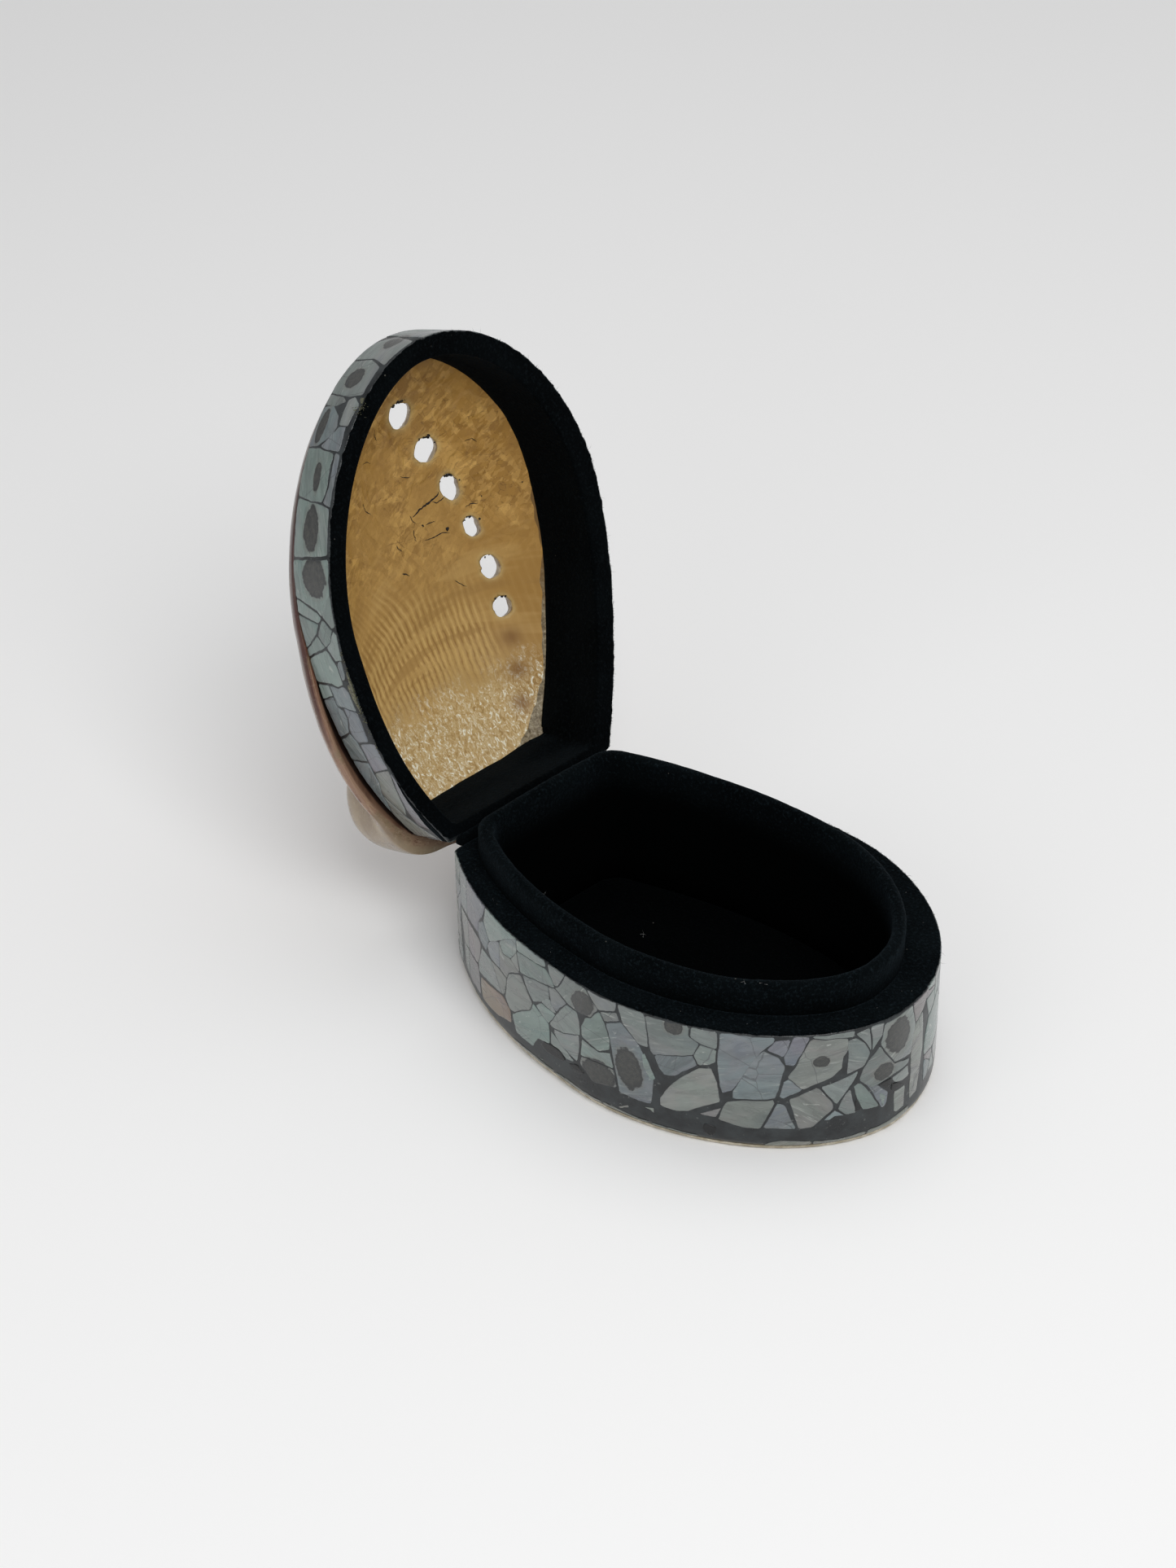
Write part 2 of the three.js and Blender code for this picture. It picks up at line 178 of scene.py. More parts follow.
def make(name, points, faces, body, looks, kinds=None, attributes=None, replaces=()):
    """A piece of the box. One of the lid's is given as it lies over the plan, and opens with the lid."""
    placed = lid_to_rest(points) if body == "lid" else np.asarray(points)
    mesh = bpy.data.meshes.new(name)
    mesh.from_pydata((placed * MM).tolist(), [], faces)
    for look in looks:
        mesh.materials.append(look)
    if kinds is not None:
        mesh.polygons.foreach_set("material_index", np.asarray(kinds, np.int32))
    for key, values in (attributes or {}).items():
        values = np.asarray(values, np.float32)
        kind = "FLOAT" if values.ndim == 1 else "FLOAT_VECTOR"
        layer = mesh.attributes.new(key, kind, "POINT")
        layer.data.foreach_set("value" if kind == "FLOAT" else "vector", values.ravel())
    mesh.update()
    piece = bpy.data.objects.new(name, mesh)
    link(piece)
    mesh.shade_smooth()
    if replaces:
        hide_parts(*replaces)
    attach(piece, body)
    return piece


def grid_faces(rows, count, start=0, close=True, turned=False):
    """Quads between rows of equal closed loops; the last row also joins the first when close is set."""
    k = np.arange(count)
    following = (k + 1) % count
    out = []
    for j in range(rows if close else rows - 1):
        a, b = start + j * count, start + ((j + 1) % rows) * count
        quad = np.c_[a + k, a + following, b + following, b + k]
        out.append(quad[:, ::-1] if turned else quad)
    return np.vstack(out).tolist()


def fan(first, count, tip, turned=False):
    """Triangles from a closed loop of vertices to one at its middle."""
    loop = list(range(first, first + count))
    pairs = zip(loop, loop[1:] + loop[:1])
    return [[b, a, tip] if turned else [a, b, tip] for a, b in pairs]


# Materials


def tone(r, g, b):
    """A colour given as it looks on screen, 0 to 255."""
    line = [v / 255 for v in (r, g, b)]
    return tuple(v / 12.92 if v <= 0.04045 else ((v + 0.055) / 1.055) ** 2.4 for v in line) + (1.0,)


class Look:
    """A node material in the making. Each call adds a node and gives its output."""

    def __init__(self, name):
        self.material = bpy.data.materials.new(name)
        self.material.use_nodes = True
        self.tree = self.material.node_tree
        self.tree.nodes.clear()
        self.shader = self.add("BsdfPrincipled")
        out = self.add("OutputMaterial")
        self.tree.links.new(self.shader.outputs[0], out.inputs[0])

    def add(self, kind, inputs=(), **settings):
        node = self.tree.nodes.new("ShaderNode" + kind)
        for key, value in settings.items():
            setattr(node, key, value)
        for key, value in dict(inputs).items():
            self.put(node.inputs[key], value)
        return node

    def put(self, socket, value):
        if isinstance(value, bpy.types.NodeSocket):
            self.tree.links.new(value, socket)
        else:
            socket.default_value = value

    def set(self, **values):
        for key, value in values.items():
            self.put(self.shader.inputs[key.replace("_", " ")], value)

    def math(self, how, a, b=0.0, c=0.0, clamp=False):
        node = self.add("Math", {0: a, 1: b, 2: c}, operation=how, use_clamp=clamp)
        return node.outputs[0]

    def times(self, a, b):
        return self.math("MULTIPLY", a, b)

    def plus(self, a, b):
        return self.math("ADD", a, b)

    def moved(self, vector, by):
        return self.add("VectorMath", {0: vector, 1: by}, operation="ADD").outputs[0]

    def scaled(self, vector, by):
        return self.add("VectorMath", {0: vector, "Scale": by}, operation="SCALE").outputs[0]

    def attribute(self, name, part="Vector"):
        return self.add("Attribute", attribute_name=name).outputs[part]

    def split(self, vector):
        return self.add("SeparateXYZ", {0: vector}).outputs

    def join(self, x, y, z):
        return self.add("CombineXYZ", {0: x, 1: y, 2: z}).outputs[0]

    def place(self):
        return self.add("TexCoord").outputs["Object"]

    def stretch(self, vector, scale):
        return self.add("Mapping", {"Vector": vector, "Scale": scale}).outputs[0]

    def noise(self, vector, scale, detail=2.0, rough=0.5, bend=0.0, part=0):
        node = self.add(
            "TexNoise",
            {"Vector": vector, "Scale": scale, "Detail": detail, "Roughness": rough, "Distortion": bend},
        )
        return node.outputs[part]

    def cells(self, vector, scale, feature="F1", part="Distance", metric="EUCLIDEAN", jitter=1.0):
        node = self.add("TexVoronoi", feature=feature)
        if feature != "DISTANCE_TO_EDGE":
            node.distance = metric
        self.put(node.inputs["Vector"], vector)
        node.inputs["Scale"].default_value = scale
        node.inputs["Randomness"].default_value = jitter
        return node.outputs[part]

    def band(self, value, low, high, start=0.0, end=1.0, kind="SMOOTHSTEP"):
        node = self.add(
            "MapRange",
            {"Value": value, "From Min": low, "From Max": high, "To Min": start, "To Max": end},
            interpolation_type=kind,
        )
        return node.outputs[0]

    def ramp(self, value, stops, coloured=tone):
        """Colours by value, each stop as value, red, green, blue."""
        node = self.add("ValToRGB", {0: value})
        marks = node.color_ramp.elements
        while len(marks) < len(stops):
            marks.new(0.5)
        for mark, (at, *colour) in zip(marks, stops):
            mark.position = at
            mark.color = coloured(*colour)
        return node.outputs[0]

    def mix(self, share, a, b, how="MIX"):
        node = self.add("Mix", data_type="RGBA", blend_type=how)
        self.put(node.inputs[0], share)
        self.put(node.inputs[6], a)
        self.put(node.inputs[7], b)
        return node.outputs[2]

    def lay(self, under, over, value, low, high, most=1.0, within=None):
        """Lays a colour over another as value goes from low to high, at most this much."""
        share = self.band(value, low, high, 0.0, most)
        if within is not None:
            share = self.times(share, within)
        return self.mix(share, under, over)

    def bump(self, height, distance, strength=1.0, normal=None):
        node = self.add("Bump", {"Height": height, "Distance": distance, "Strength": strength})
        if normal is not None:
            self.put(node.inputs["Normal"], normal)
        return node.outputs[0]


def velvet_look(name, depth=1.0, painted_shade_low=False):
    # depth scales every tone down; the floor's 0.2 is painted shade at the bottom of the box.
    def shade(*colour):
        return tone(*(v * depth for v in colour))

    look = Look(name)
    at = look.place()
    brushed = look.noise(at, 95.0, 3.0, 0.6)
    fine = look.noise(at, 1700.0, 3.0, 0.75)
    colour = look.lay(shade(2, 4, 5), shade(6, 10, 12), brushed, 0.35, 0.7)
    colour = look.lay(colour, shade(20, 28, 32), fine, 0.5, 0.72)
    colour = look.lay(colour, shade(44, 52, 56), fine, 0.70, 0.78, 0.6)
    speck = look.cells(at, 330.0, jitter=1.0)
    lint = look.times(look.band(speck, 0.06, 0.035), look.band(look.noise(at, 160.0), 0.6, 0.66))
    colour = look.mix(lint, colour, tone(92, 90, 84))
    # Painted shade: darker from 32 mm down to 24 mm high, deep inside the box.
    if painted_shade_low:
        height = look.split(at)[2]
        colour = look.lay(colour, tone(1, 2, 2), height, 0.032, 0.024)
    look.set(
        Base_Color=colour, Roughness=0.95, Specular_IOR_Level=0.03,
        Sheen_Weight=look.band(height, 0.024, 0.033, 0.0, 0.03) if painted_shade_low else 0.03 * depth,
        Sheen_Roughness=0.4, Sheen_Tint=(0.55, 0.8, 1.0, 1.0),
        Normal=look.bump(fine, 0.0004, 0.9, look.bump(brushed, 0.0006, 0.3)),
    )
    return look.material


def nacre_look():
    look = Look("nacre_chips")
    tint, light, number = look.split(look.attribute("chip"))
    grain = look.attribute("grain")
    hue = look.ramp(tint, [
        (0.0, 124, 146, 139), (0.1, 121, 141, 135), (0.25, 124, 133, 130), (0.4, 110, 124, 130),
        (0.55, 108, 112, 128), (0.68, 126, 116, 118), (0.8, 132, 138, 132), (0.92, 128, 124, 108),
        (1.0, 136, 108, 76),
    ])
    clouds = look.noise(look.stretch(grain, (0.07, 0.16, 1.0)), 1.0, 3.0, 0.5, 0.8)
    play = look.ramp(clouds, [
        (0.30, 96, 112, 114), (0.42, 130, 140, 134), (0.5, 124, 130, 128), (0.58, 140, 136, 134),
        (0.70, 116, 114, 128),
    ])
    colour = look.mix(0.36, hue, play)
    streaks = look.noise(look.stretch(grain, (0.10, 0.34, 1.0)), 1.0, 4.0, 0.58, 1.4)
    shade = look.plus(look.band(streaks, 0.25, 0.75, 0.59, 0.98, "LINEAR"), look.times(light, 0.13))
    colour = look.mix(1.0, colour, look.join(shade, shade, shade), "MULTIPLY")
    lines = look.noise(look.stretch(grain, (0.07, 0.75, 1.0)), 1.0, 3.0, 0.6, 1.8)
    colour = look.lay(colour, tone(160, 164, 160), lines, 0.58, 0.72, 0.42)
    colour = look.lay(colour, tone(90, 96, 98), lines, 0.40, 0.29, 0.3)
    glints = look.noise(look.stretch(grain, (0.12, 0.42, 1.0)), 1.0, 3.0, 0.55, 2.2)
    colour = look.lay(colour, tone(182, 186, 180), glints, 0.64, 0.72, 0.5)
    # brown-grey ovals where the shell was worn through
    offset = look.attribute("spot")
    ragged = look.noise(grain, 0.7, 3.0, 0.6, part=1)
    shifted = look.moved(ragged, (-0.5, -0.5, -0.5))
    shifted = look.scaled(shifted, 0.6)
    moved = look.moved(offset, shifted)
    reach = look.add("VectorMath", {0: moved}, operation="LENGTH").outputs["Value"]
    mottle = look.noise(grain, 1.3, 4.0, 0.65)
    dark = look.mix(look.band(mottle, 0.35, 0.7), tone(38, 41, 40), tone(60, 60, 56))
    colour = look.lay(colour, tone(104, 102, 94), reach, 1.5, 1.1, 0.35)
    colour = look.lay(
        colour, look.mix(look.band(reach, 1.0, 0.86), tone(34, 36, 36), dark), reach, 1.16, 1.06
    )
    # hair cracks and a darker rim
    bent = look.noise(grain, 0.3, 2.0, 0.5, part=1)
    bent = look.moved(grain, bent)
    hair = look.cells(bent, 0.13, "DISTANCE_TO_EDGE")
    cracked = look.times(look.band(hair, 0.012, 0.005), look.band(number, 0.55, 0.6))
    colour = look.mix(look.times(cracked, 0.6), colour, tone(64, 66, 70))
    rim = look.attribute("rim", "Fac")
    colour = look.lay(colour, tone(74, 77, 80), rim, 0.6, 0.0, 0.5)
    look.set(
        Base_Color=colour, Roughness=look.band(streaks, 0.3, 0.7, 0.22, 0.36, "LINEAR"), Coat_Weight=0.3,
        Coat_Roughness=0.12, Normal=look.bump(streaks, 0.00012, 0.5),
    )
    return look.material


def resin_look():
    look = Look("dark_resin")
    at = look.place()
    cloud = look.noise(at, 260.0, 4.0, 0.6)
    colour = look.mix(look.band(cloud, 0.35, 0.7), tone(26, 29, 31), tone(48, 53, 55))
    blots = look.noise(at, 140.0, 3.0, 0.6)
    colour = look.lay(colour, tone(16, 17, 19), blots, 0.63, 0.68)
    specks = look.noise(at, 900.0, 2.0, 0.6)
    colour = look.lay(colour, tone(110, 114, 112), specks, 0.66, 0.74, 0.5)
    look.set(
        Base_Color=colour, Roughness=look.band(cloud, 0.3, 0.7, 0.26, 0.46, "LINEAR"),
        Specular_IOR_Level=0.4, Coat_Weight=0.1, Coat_Roughness=0.15, Normal=look.bump(cloud, 0.0002, 0.5),
    )
    return look.material


def gold(r, g, b):
    """A tone of the shell's inside, lifted for the shade that the lid lies in."""
    red, green, blue, _ = tone(r, g, b)
    return (min(red * 1.62, 1.0), min(green * 1.52, 1.0), blue * 1.17, 1.0)


def pale_gold(r, g, b):
    """A tone of the sparkling grains' painted highlights, which need less lift."""
    red, green, blue, _ = tone(r, g, b)
    return (min(red * 1.3, 1.0), min(green * 1.3, 1.0), min(blue * 1.2, 1.0), 1.0)


def shell_inside_look():
    look = Look("abalone_inside")
    lid = look.attribute("lid")
    u, y, _ = look.split(lid)
    cord, growth, _ = look.split(look.attribute("spiral"))
    # clouds of gold and brown, paler towards the hinge; the paler hinge end is partly painted light, where
    # the lid's lower end faces the lamps
    slow = look.noise(lid, 0.055, 3.0, 0.55, 0.6)
    patchy = look.noise(look.stretch(lid, (1.0, 1.6, 1.0)), 0.16, 4.0, 0.6, 0.8)
    level = look.plus(look.times(u, 1 / 90), look.math("MULTIPLY_ADD", slow, 0.22, -0.11))
    colour = look.ramp(level, [
        (0.05, 156, 134, 100), (0.16, 154, 131, 94), (0.27, 147, 120, 78), (0.5, 138, 109, 64),
        (0.75, 138, 107, 58), (0.95, 120, 90, 46),
    ], gold)
    colour = look.lay(colour, gold(158, 128, 78), patchy, 0.42, 0.7, 0.22)
    colour = look.lay(colour, gold(122, 91, 48), patchy, 0.45, 0.28, 0.26)
    # the yellower far side
    colour = look.lay(colour, gold(128, 96, 42), y, 10.0, 22.0, 0.6)
    # angular flakes
    wobble = look.noise(lid, 0.2, 2.0, 0.5, part=1)
    wobble = look.scaled(wobble, 0.8)
    bent = look.moved(lid, wobble)
    sparse = look.noise(lid, 0.10, 2.0)
    flaky = look.times(look.band(level, 0.36, 0.56), look.band(sparse, 0.38, 0.56, 0.3, 1.0))
    for turn, size, amount in ((0.5, 0.26, 0.3), (-0.8, 0.42, 0.32), (1.4, 0.14, 0.2), (2.2, 0.7, 0.26)):
        turned = look.add("VectorRotate", {"Vector": bent, "Angle": turn}, rotation_type="Z_AXIS").outputs[0]
        turned = look.stretch(turned, (1.0, 2.6, 1.0))
        shade = look.cells(turned, size, part="Color", metric="MANHATTAN")
        value = look.split(shade)[0]
        colour = look.lay(colour, gold(182, 150, 96), value, 0.74, 0.8, amount, flaky)
        colour = look.lay(colour, gold(108, 80, 42), value, 0.24, 0.18, amount, flaky)
        edge = look.cells(turned, size, "DISTANCE_TO_EDGE")
        gap = look.times(look.band(edge, 0.035, 0.0, 0.0, 0.65), flaky)
        gap = look.times(gap, look.band(look.noise(lid, 0.5 + size, 2.0), 0.54, 0.62))
        colour = look.mix(gap, colour, gold(84, 60, 32))
    # fine cords, seen where the flakes end
    shake = look.noise(look.join(look.times(cord, 0.25), look.times(growth, 2.5), 0.0), 1.0, 3.0)
    fine = look.noise(lid, 0.5, 3.0, 0.6)
    phase = look.plus(cord, look.times(shake, 1.1))
    phase = look.math("FRACT", look.plus(phase, look.times(fine, 0.5)))
    groove = look.math("ABSOLUTE", look.math("SUBTRACT", phase, 0.5))
    ribbed = look.times(look.band(level, 0.46, 0.34, 0.12, 1.0), look.band(level, 0.17, 0.24, 0.1, 1.0))
    ribbed = look.times(ribbed, look.band(level, 0.56, 0.48))
    ribbed = look.times(ribbed, look.band(y, 16.0, 11.0, 0.1, 1.0))
    weave = look.noise(look.join(look.times(cord, 0.12), look.times(growth, 8.0), 3.0), 1.0, 3.0)
    strength = look.times(ribbed, look.band(weave, 0.34, 0.54, 0.2, 0.7))
    colour = look.lay(colour, gold(112, 82, 44), groove, 0.2, 0.02, within=strength)
    colour = look.lay(colour, gold(176, 152, 108), groove, 0.24, 0.46, 0.95, strength)
    # growth bands across the cords
    sweep = look.noise(look.join(look.times(growth, 7.0), look.times(cord, 0.05), 1.0), 1.0, 3.0)
    banded = look.times(look.band(level, 0.56, 0.44), look.band(level, 0.15, 0.27))
    colour = look.lay(colour, gold(122, 94, 54), sweep, 0.47, 0.38, 0.4, banded)
    colour = look.lay(colour, gold(168, 142, 98), sweep, 0.53, 0.62, 0.28, banded)
    # sparkling grains near the hinge: the pale grains are painted highlights, the darker ones the grains' own
    # tone
    grains = look.noise(look.stretch(lid, (0.8, 1.3, 1.0)), 0.95, 4.0, 0.78, 1.2)
    where = look.plus(u, look.times(look.noise(lid, 0.2, 3.0), 12.0))
    painted_sparkle = look.band(where, 27.5, 19.0)
    colour = look.lay(colour, pale_gold(192, 174, 140), grains, 0.44, 0.54, 0.6, painted_sparkle)
    colour = look.lay(colour, pale_gold(250, 240, 220), grains, 0.54, 0.64, 0.95, painted_sparkle)
    colour = look.lay(colour, gold(112, 88, 54), grains, 0.46, 0.36, 0.6, painted_sparkle)
    # brown stains of the closed holes, and a pale halo round the open ones
    stain = look.attribute("stain", "Fac")
    colour = look.mix(look.times(stain, 0.7), colour, gold(94, 62, 28))
    halo = look.attribute("halo", "Fac")
    colour = look.mix(look.times(halo, 0.5), colour, gold(160, 146, 112))
    # rough pale strip along the far edge
    beyond = look.attribute("beyond", "Fac")
    flesh = look.mix(look.band(patchy, 0.35, 0.65), tone(112, 82, 66), tone(146, 114, 92))
    # painted shadow: dark in the gap along the wall, where the shell's edge overhangs it
    flesh = look.lay(flesh, tone(36, 20, 20), beyond, 0.42, 0.3)
    strip = look.attribute("strip", "Fac")
    rough = look.noise(lid, 1.3, 4.0, 0.7)
    crust = look.ramp(rough, [
        (0.32, 76, 62, 44), (0.46, 120, 106, 80), (0.6, 156, 144, 118), (0.75, 200, 192, 174),
    ])
    crust = look.lay(crust, gold(92, 70, 38), u, 22.0, 40.0)
    colour = look.lay(colour, crust, strip, 0.45, 0.55)
    colour = look.lay(colour, flesh, beyond, 0.02, 0.06)
    relief = look.times(look.band(groove, 0.2, 0.0), strength)
    relief = look.plus(relief, look.times(grains, 0.5))
    look.set(
        Base_Color=colour, Roughness=look.band(patchy, 0.3, 0.7, 0.36, 0.5, "LINEAR"),
        Specular_IOR_Level=0.3, Coat_Weight=0.06, Coat_Roughness=0.25,
        Normal=look.bump(relief, 0.0001, 0.7, look.bump(patchy, 0.0003, 0.5)),
    )
    return look.material


def shell_outside_look():
    look = Look("abalone_outside")
    lid = look.attribute("lid")
    u = look.split(lid)[0]
    cord, growth, _ = look.split(look.attribute("spiral"))
    lobe = look.attribute("lobe", "Fac")
    drift = look.math("MULTIPLY_ADD", look.noise(lid, 0.05, 3.0), 0.3, -0.15)
    level = look.plus(look.times(u, 1 / 90), drift)
    colour = look.ramp(level, [
        (0.0, 150, 122, 100), (0.3, 146, 112, 92), (0.48, 118, 80, 64), (0.66, 74, 38, 34),
        (1.0, 60, 28, 28),
    ])
    # flames that follow the growth lines
    along = look.join(look.times(growth, 8.0), look.times(cord, 0.08), 0.0)
    flame = look.noise(along, 1.0, 4.0, 0.6, 0.9)
    colour = look.lay(colour, tone(172, 148, 120), flame, 0.52, 0.62, 0.6)
    colour = look.lay(colour, tone(84, 44, 36), flame, 0.44, 0.34, 0.7)
    green = look.noise(lid, 0.09, 3.0, 0.6, 0.5)
    colour = look.lay(colour, tone(116, 110, 82), green, 0.52, 0.66, 0.5)
    close = look.join(look.times(growth, 60.0), look.times(cord, 0.07), 2.0)
    lines = look.noise(close, 1.0, 3.0)
    colour = look.lay(colour, tone(90, 62, 50), lines, 0.42, 0.30, 0.35)
    colour = look.lay(colour, tone(200, 180, 156), lines, 0.60, 0.72, 0.25)
    cream = look.noise(look.stretch(lid, (1.0, 1.0, 2.2)), 0.13, 4.0, 0.55, 0.5)
    pale = look.mix(look.band(cream, 0.35, 0.7), tone(156, 138, 112), tone(128, 108, 86))
    colour = look.lay(colour, pale, lobe, 0.3, 0.8)
    speck = look.noise(lid, 0.9, 3.0, 0.7)
    colour = look.lay(colour, tone(206, 194, 172), speck, 0.68, 0.76, 0.2)
    rim = look.attribute("halo", "Fac")
    colour = look.mix(look.times(rim, 0.5), colour, tone(196, 182, 156))
    # darker in the rows along the rim, where the shell meets the mosaic
    seam = look.attribute("seam", "Fac")
    ragged = look.plus(seam, look.math("MULTIPLY_ADD", look.noise(lid, 0.5, 3.0), 0.5, -0.25))
    rim_darkened = look.mix(look.band(u, 34.0, 14.0), tone(64, 34, 31), tone(104, 76, 60))
    colour = look.lay(colour, rim_darkened, ragged, 0.25, 0.7, 0.85)
    colour = look.lay(colour, tone(34, 22, 22), seam, 0.95, 1.0, 0.9)
    look.set(
        Base_Color=colour, Roughness=look.band(speck, 0.3, 0.7, 0.16, 0.3, "LINEAR"), Coat_Weight=0.3,
        Coat_Roughness=0.08, Normal=look.bump(lines, 0.00015, 0.4),
    )
    return look.material


def plain_look(name, light, dark, roughness, scale=300.0, stretch=(1, 1, 1), bump=0.0001):
    look = Look(name)
    at = look.stretch(look.place(), stretch)
    grain = look.noise(at, scale, 4.0, 0.6)
    look.set(
        Base_Color=look.mix(look.band(grain, 0.35, 0.68), dark, light),
        Roughness=look.band(grain, 0.3, 0.7, roughness - 0.08, roughness + 0.08, "LINEAR"),
        Normal=look.bump(grain, bump, 0.6),
    )
    return look.material


VELVET = velvet_look("black_velvet")
# The floor's velvet at a fifth of the brightness: painted shade at the bottom of the box.
SHADED_FLOOR_VELVET = velvet_look("black_velvet_floor", 0.2)
LINING_VELVET = velvet_look("black_velvet_lining", 0.6)
# The collar's velvet, with painted shade low down inside the box.
COLLAR_VELVET = velvet_look("black_velvet_collar", 1.0, True)
NACRE = nacre_look()
RESIN = resin_look()
INSIDE = shell_inside_look()
OUTSIDE = shell_outside_look()
SHELL_EDGE = plain_look("shell_edge", tone(206, 190, 160), tone(150, 124, 92), 0.4, 700.0)
BOARD = plain_look("board", tone(196, 180, 150), tone(150, 132, 104), 0.75, 900.0, (1, 1, 0.2))
LAMINATE = plain_look("laminate", tone(206, 198, 180), tone(160, 150, 128), 0.4, 500.0)
GLUE = plain_look("dried_glue", tone(112, 112, 84), tone(60, 58, 42), 0.35, 1500.0, bump=0.0003)
LINT = plain_look("lint", tone(150, 150, 146), tone(96, 98, 100), 0.9, 2500.0)
BLACK = plain_look("black_resin", tone(15, 16, 18), tone(7, 8, 9), 0.3, 700.0)
# Dark lumps, and the painted shade of the shell's cracks.
CRUMB_AND_SHADE = plain_look("dark_crumb_and_painted_shade", tone(34, 30, 28), tone(12, 11, 12), 0.7, 2500.0, bump=0.0003)


# Mosaic: cells of a random net, some split again, each a chip let into the resin


def cut_polygon(polygon, at, normal):
    """The part of a convex polygon behind the line."""
    side = (polygon - at) @ normal
    out = []
    for k in range(len(polygon)):
        a, b = side[k - 1], side[k]
        if (a <= 0) != (b <= 0):
            out.append(polygon[k - 1] + (polygon[k] - polygon[k - 1]) * (a / (a - b)))
        if b <= 0:
            out.append(polygon[k])
    return np.array(out)


def signed_area(polygon):
    """Positive where the corners run anticlockwise."""
    x, y = polygon.T
    return 0.5 * (np.dot(x, np.roll(y, -1)) - np.dot(y, np.roll(x, -1)))


def area(polygon):
    return abs(signed_area(polygon))


def soften(polygon, share):
    """Cuts the corners off, by this share of each side."""
    following = np.roll(polygon, -1, 0)
    both = np.stack([polygon + (following - polygon) * share, following - (following - polygon) * share], 1)
    return both.reshape(-1, 2)


def resample(polygon, step):
    """Points along the outline, about this far apart."""
    closed = np.vstack([polygon, polygon[:1]])
    length = np.hypot(*np.diff(closed, axis=0).T)
    total = length.sum()
    count = max(10, int(round(total / step)))
    s = np.r_[0, np.cumsum(length)]
    at = np.linspace(0, total, count, endpoint=False)
    return np.c_[np.interp(at, s, closed[:, 0]), np.interp(at, s, closed[:, 1])]


def net(rng, start, end, low, high, pitch, tall, keep):
    """Cells of a random net over a stretch of the strip from low to high. tall stretches them upwards."""
    columns = int(round((end - start) / pitch))
    rows = max(1, int(round((high - low) / (pitch * tall))))
    seeds = []
    for j in range(rows):
        for i in range(columns):
            s = start + (i + 0.5 * (j % 2) + 0.25 + rng.uniform(-0.4, 0.4)) * (end - start) / columns
            z = low + (j + 0.5 + rng.uniform(-0.42, 0.42)) * (high - low) / rows
            seeds.append((s, z))
    keep = [p for p in keep if start + 2 < p[0] < end - 2]
    seeds = [p for p in seeds if all(math.hypot(p[0] - q[0], p[1] - q[1]) > 4.5 for q in keep)]
    seeds = np.array(seeds + [tuple(p[:2]) for p in keep])
    cells = []
    for s, z in seeds:
        cell = np.array([(start, low - 1), (end, low - 1), (end, high + 1), (start, high + 1)], float)
        gap = np.hypot(*(seeds - (s, z)).T)
        for k in np.argsort(gap)[1:28]:
            cell = cut_polygon(cell, (np.array([s, z]) + seeds[k]) / 2, seeds[k] - (s, z))
        cells.append(cell)
    return cells


def broken(rng, cell, chance, smallest):
    """A cell, or the pieces that it is cracked into."""
    if rng.uniform() > chance or area(cell) < 2 * smallest:
        return [cell]
    middle = cell.mean(0) + rng.normal(size=2) * 0.8
    turn = rng.uniform(0, np.pi)
    normal = np.array([math.cos(turn), math.sin(turn)])
    halves = [cut_polygon(cell, middle, normal), cut_polygon(cell, middle, -normal)]
    if any(len(half) < 3 or area(half) < 0.25 * smallest for half in halves):
        return [cell]
    return [p for half in halves for p in broken(rng, half, chance * 0.62, smallest)]


TINTS = {"t": 0.08, "g": 0.25, "b": 0.4, "l": 0.55, "p": 0.68, "w": 0.8, "y": 0.92, "o": 1.0, "W": 0.84}


def drawn(text):
    """Chips written as a tint letter and corners along and up the wall."""
    chips = []
    for line in text.strip().splitlines():
        tint, *corners = line.split()
        chips.append((tint, np.array([[float(v) for v in corner.split(",")] for corner in corners])))
    return chips


def moved_in(edge, by):
    """The outline moved inwards, whichever way it runs."""
    along = np.roll(edge, -1, 0) - np.roll(edge, 1, 0)
    normal = np.c_[along[:, 1], -along[:, 0]] / np.maximum(np.hypot(*along.T), 1e-6)[:, None]
    return edge - normal * by * np.sign(signed_area(edge))


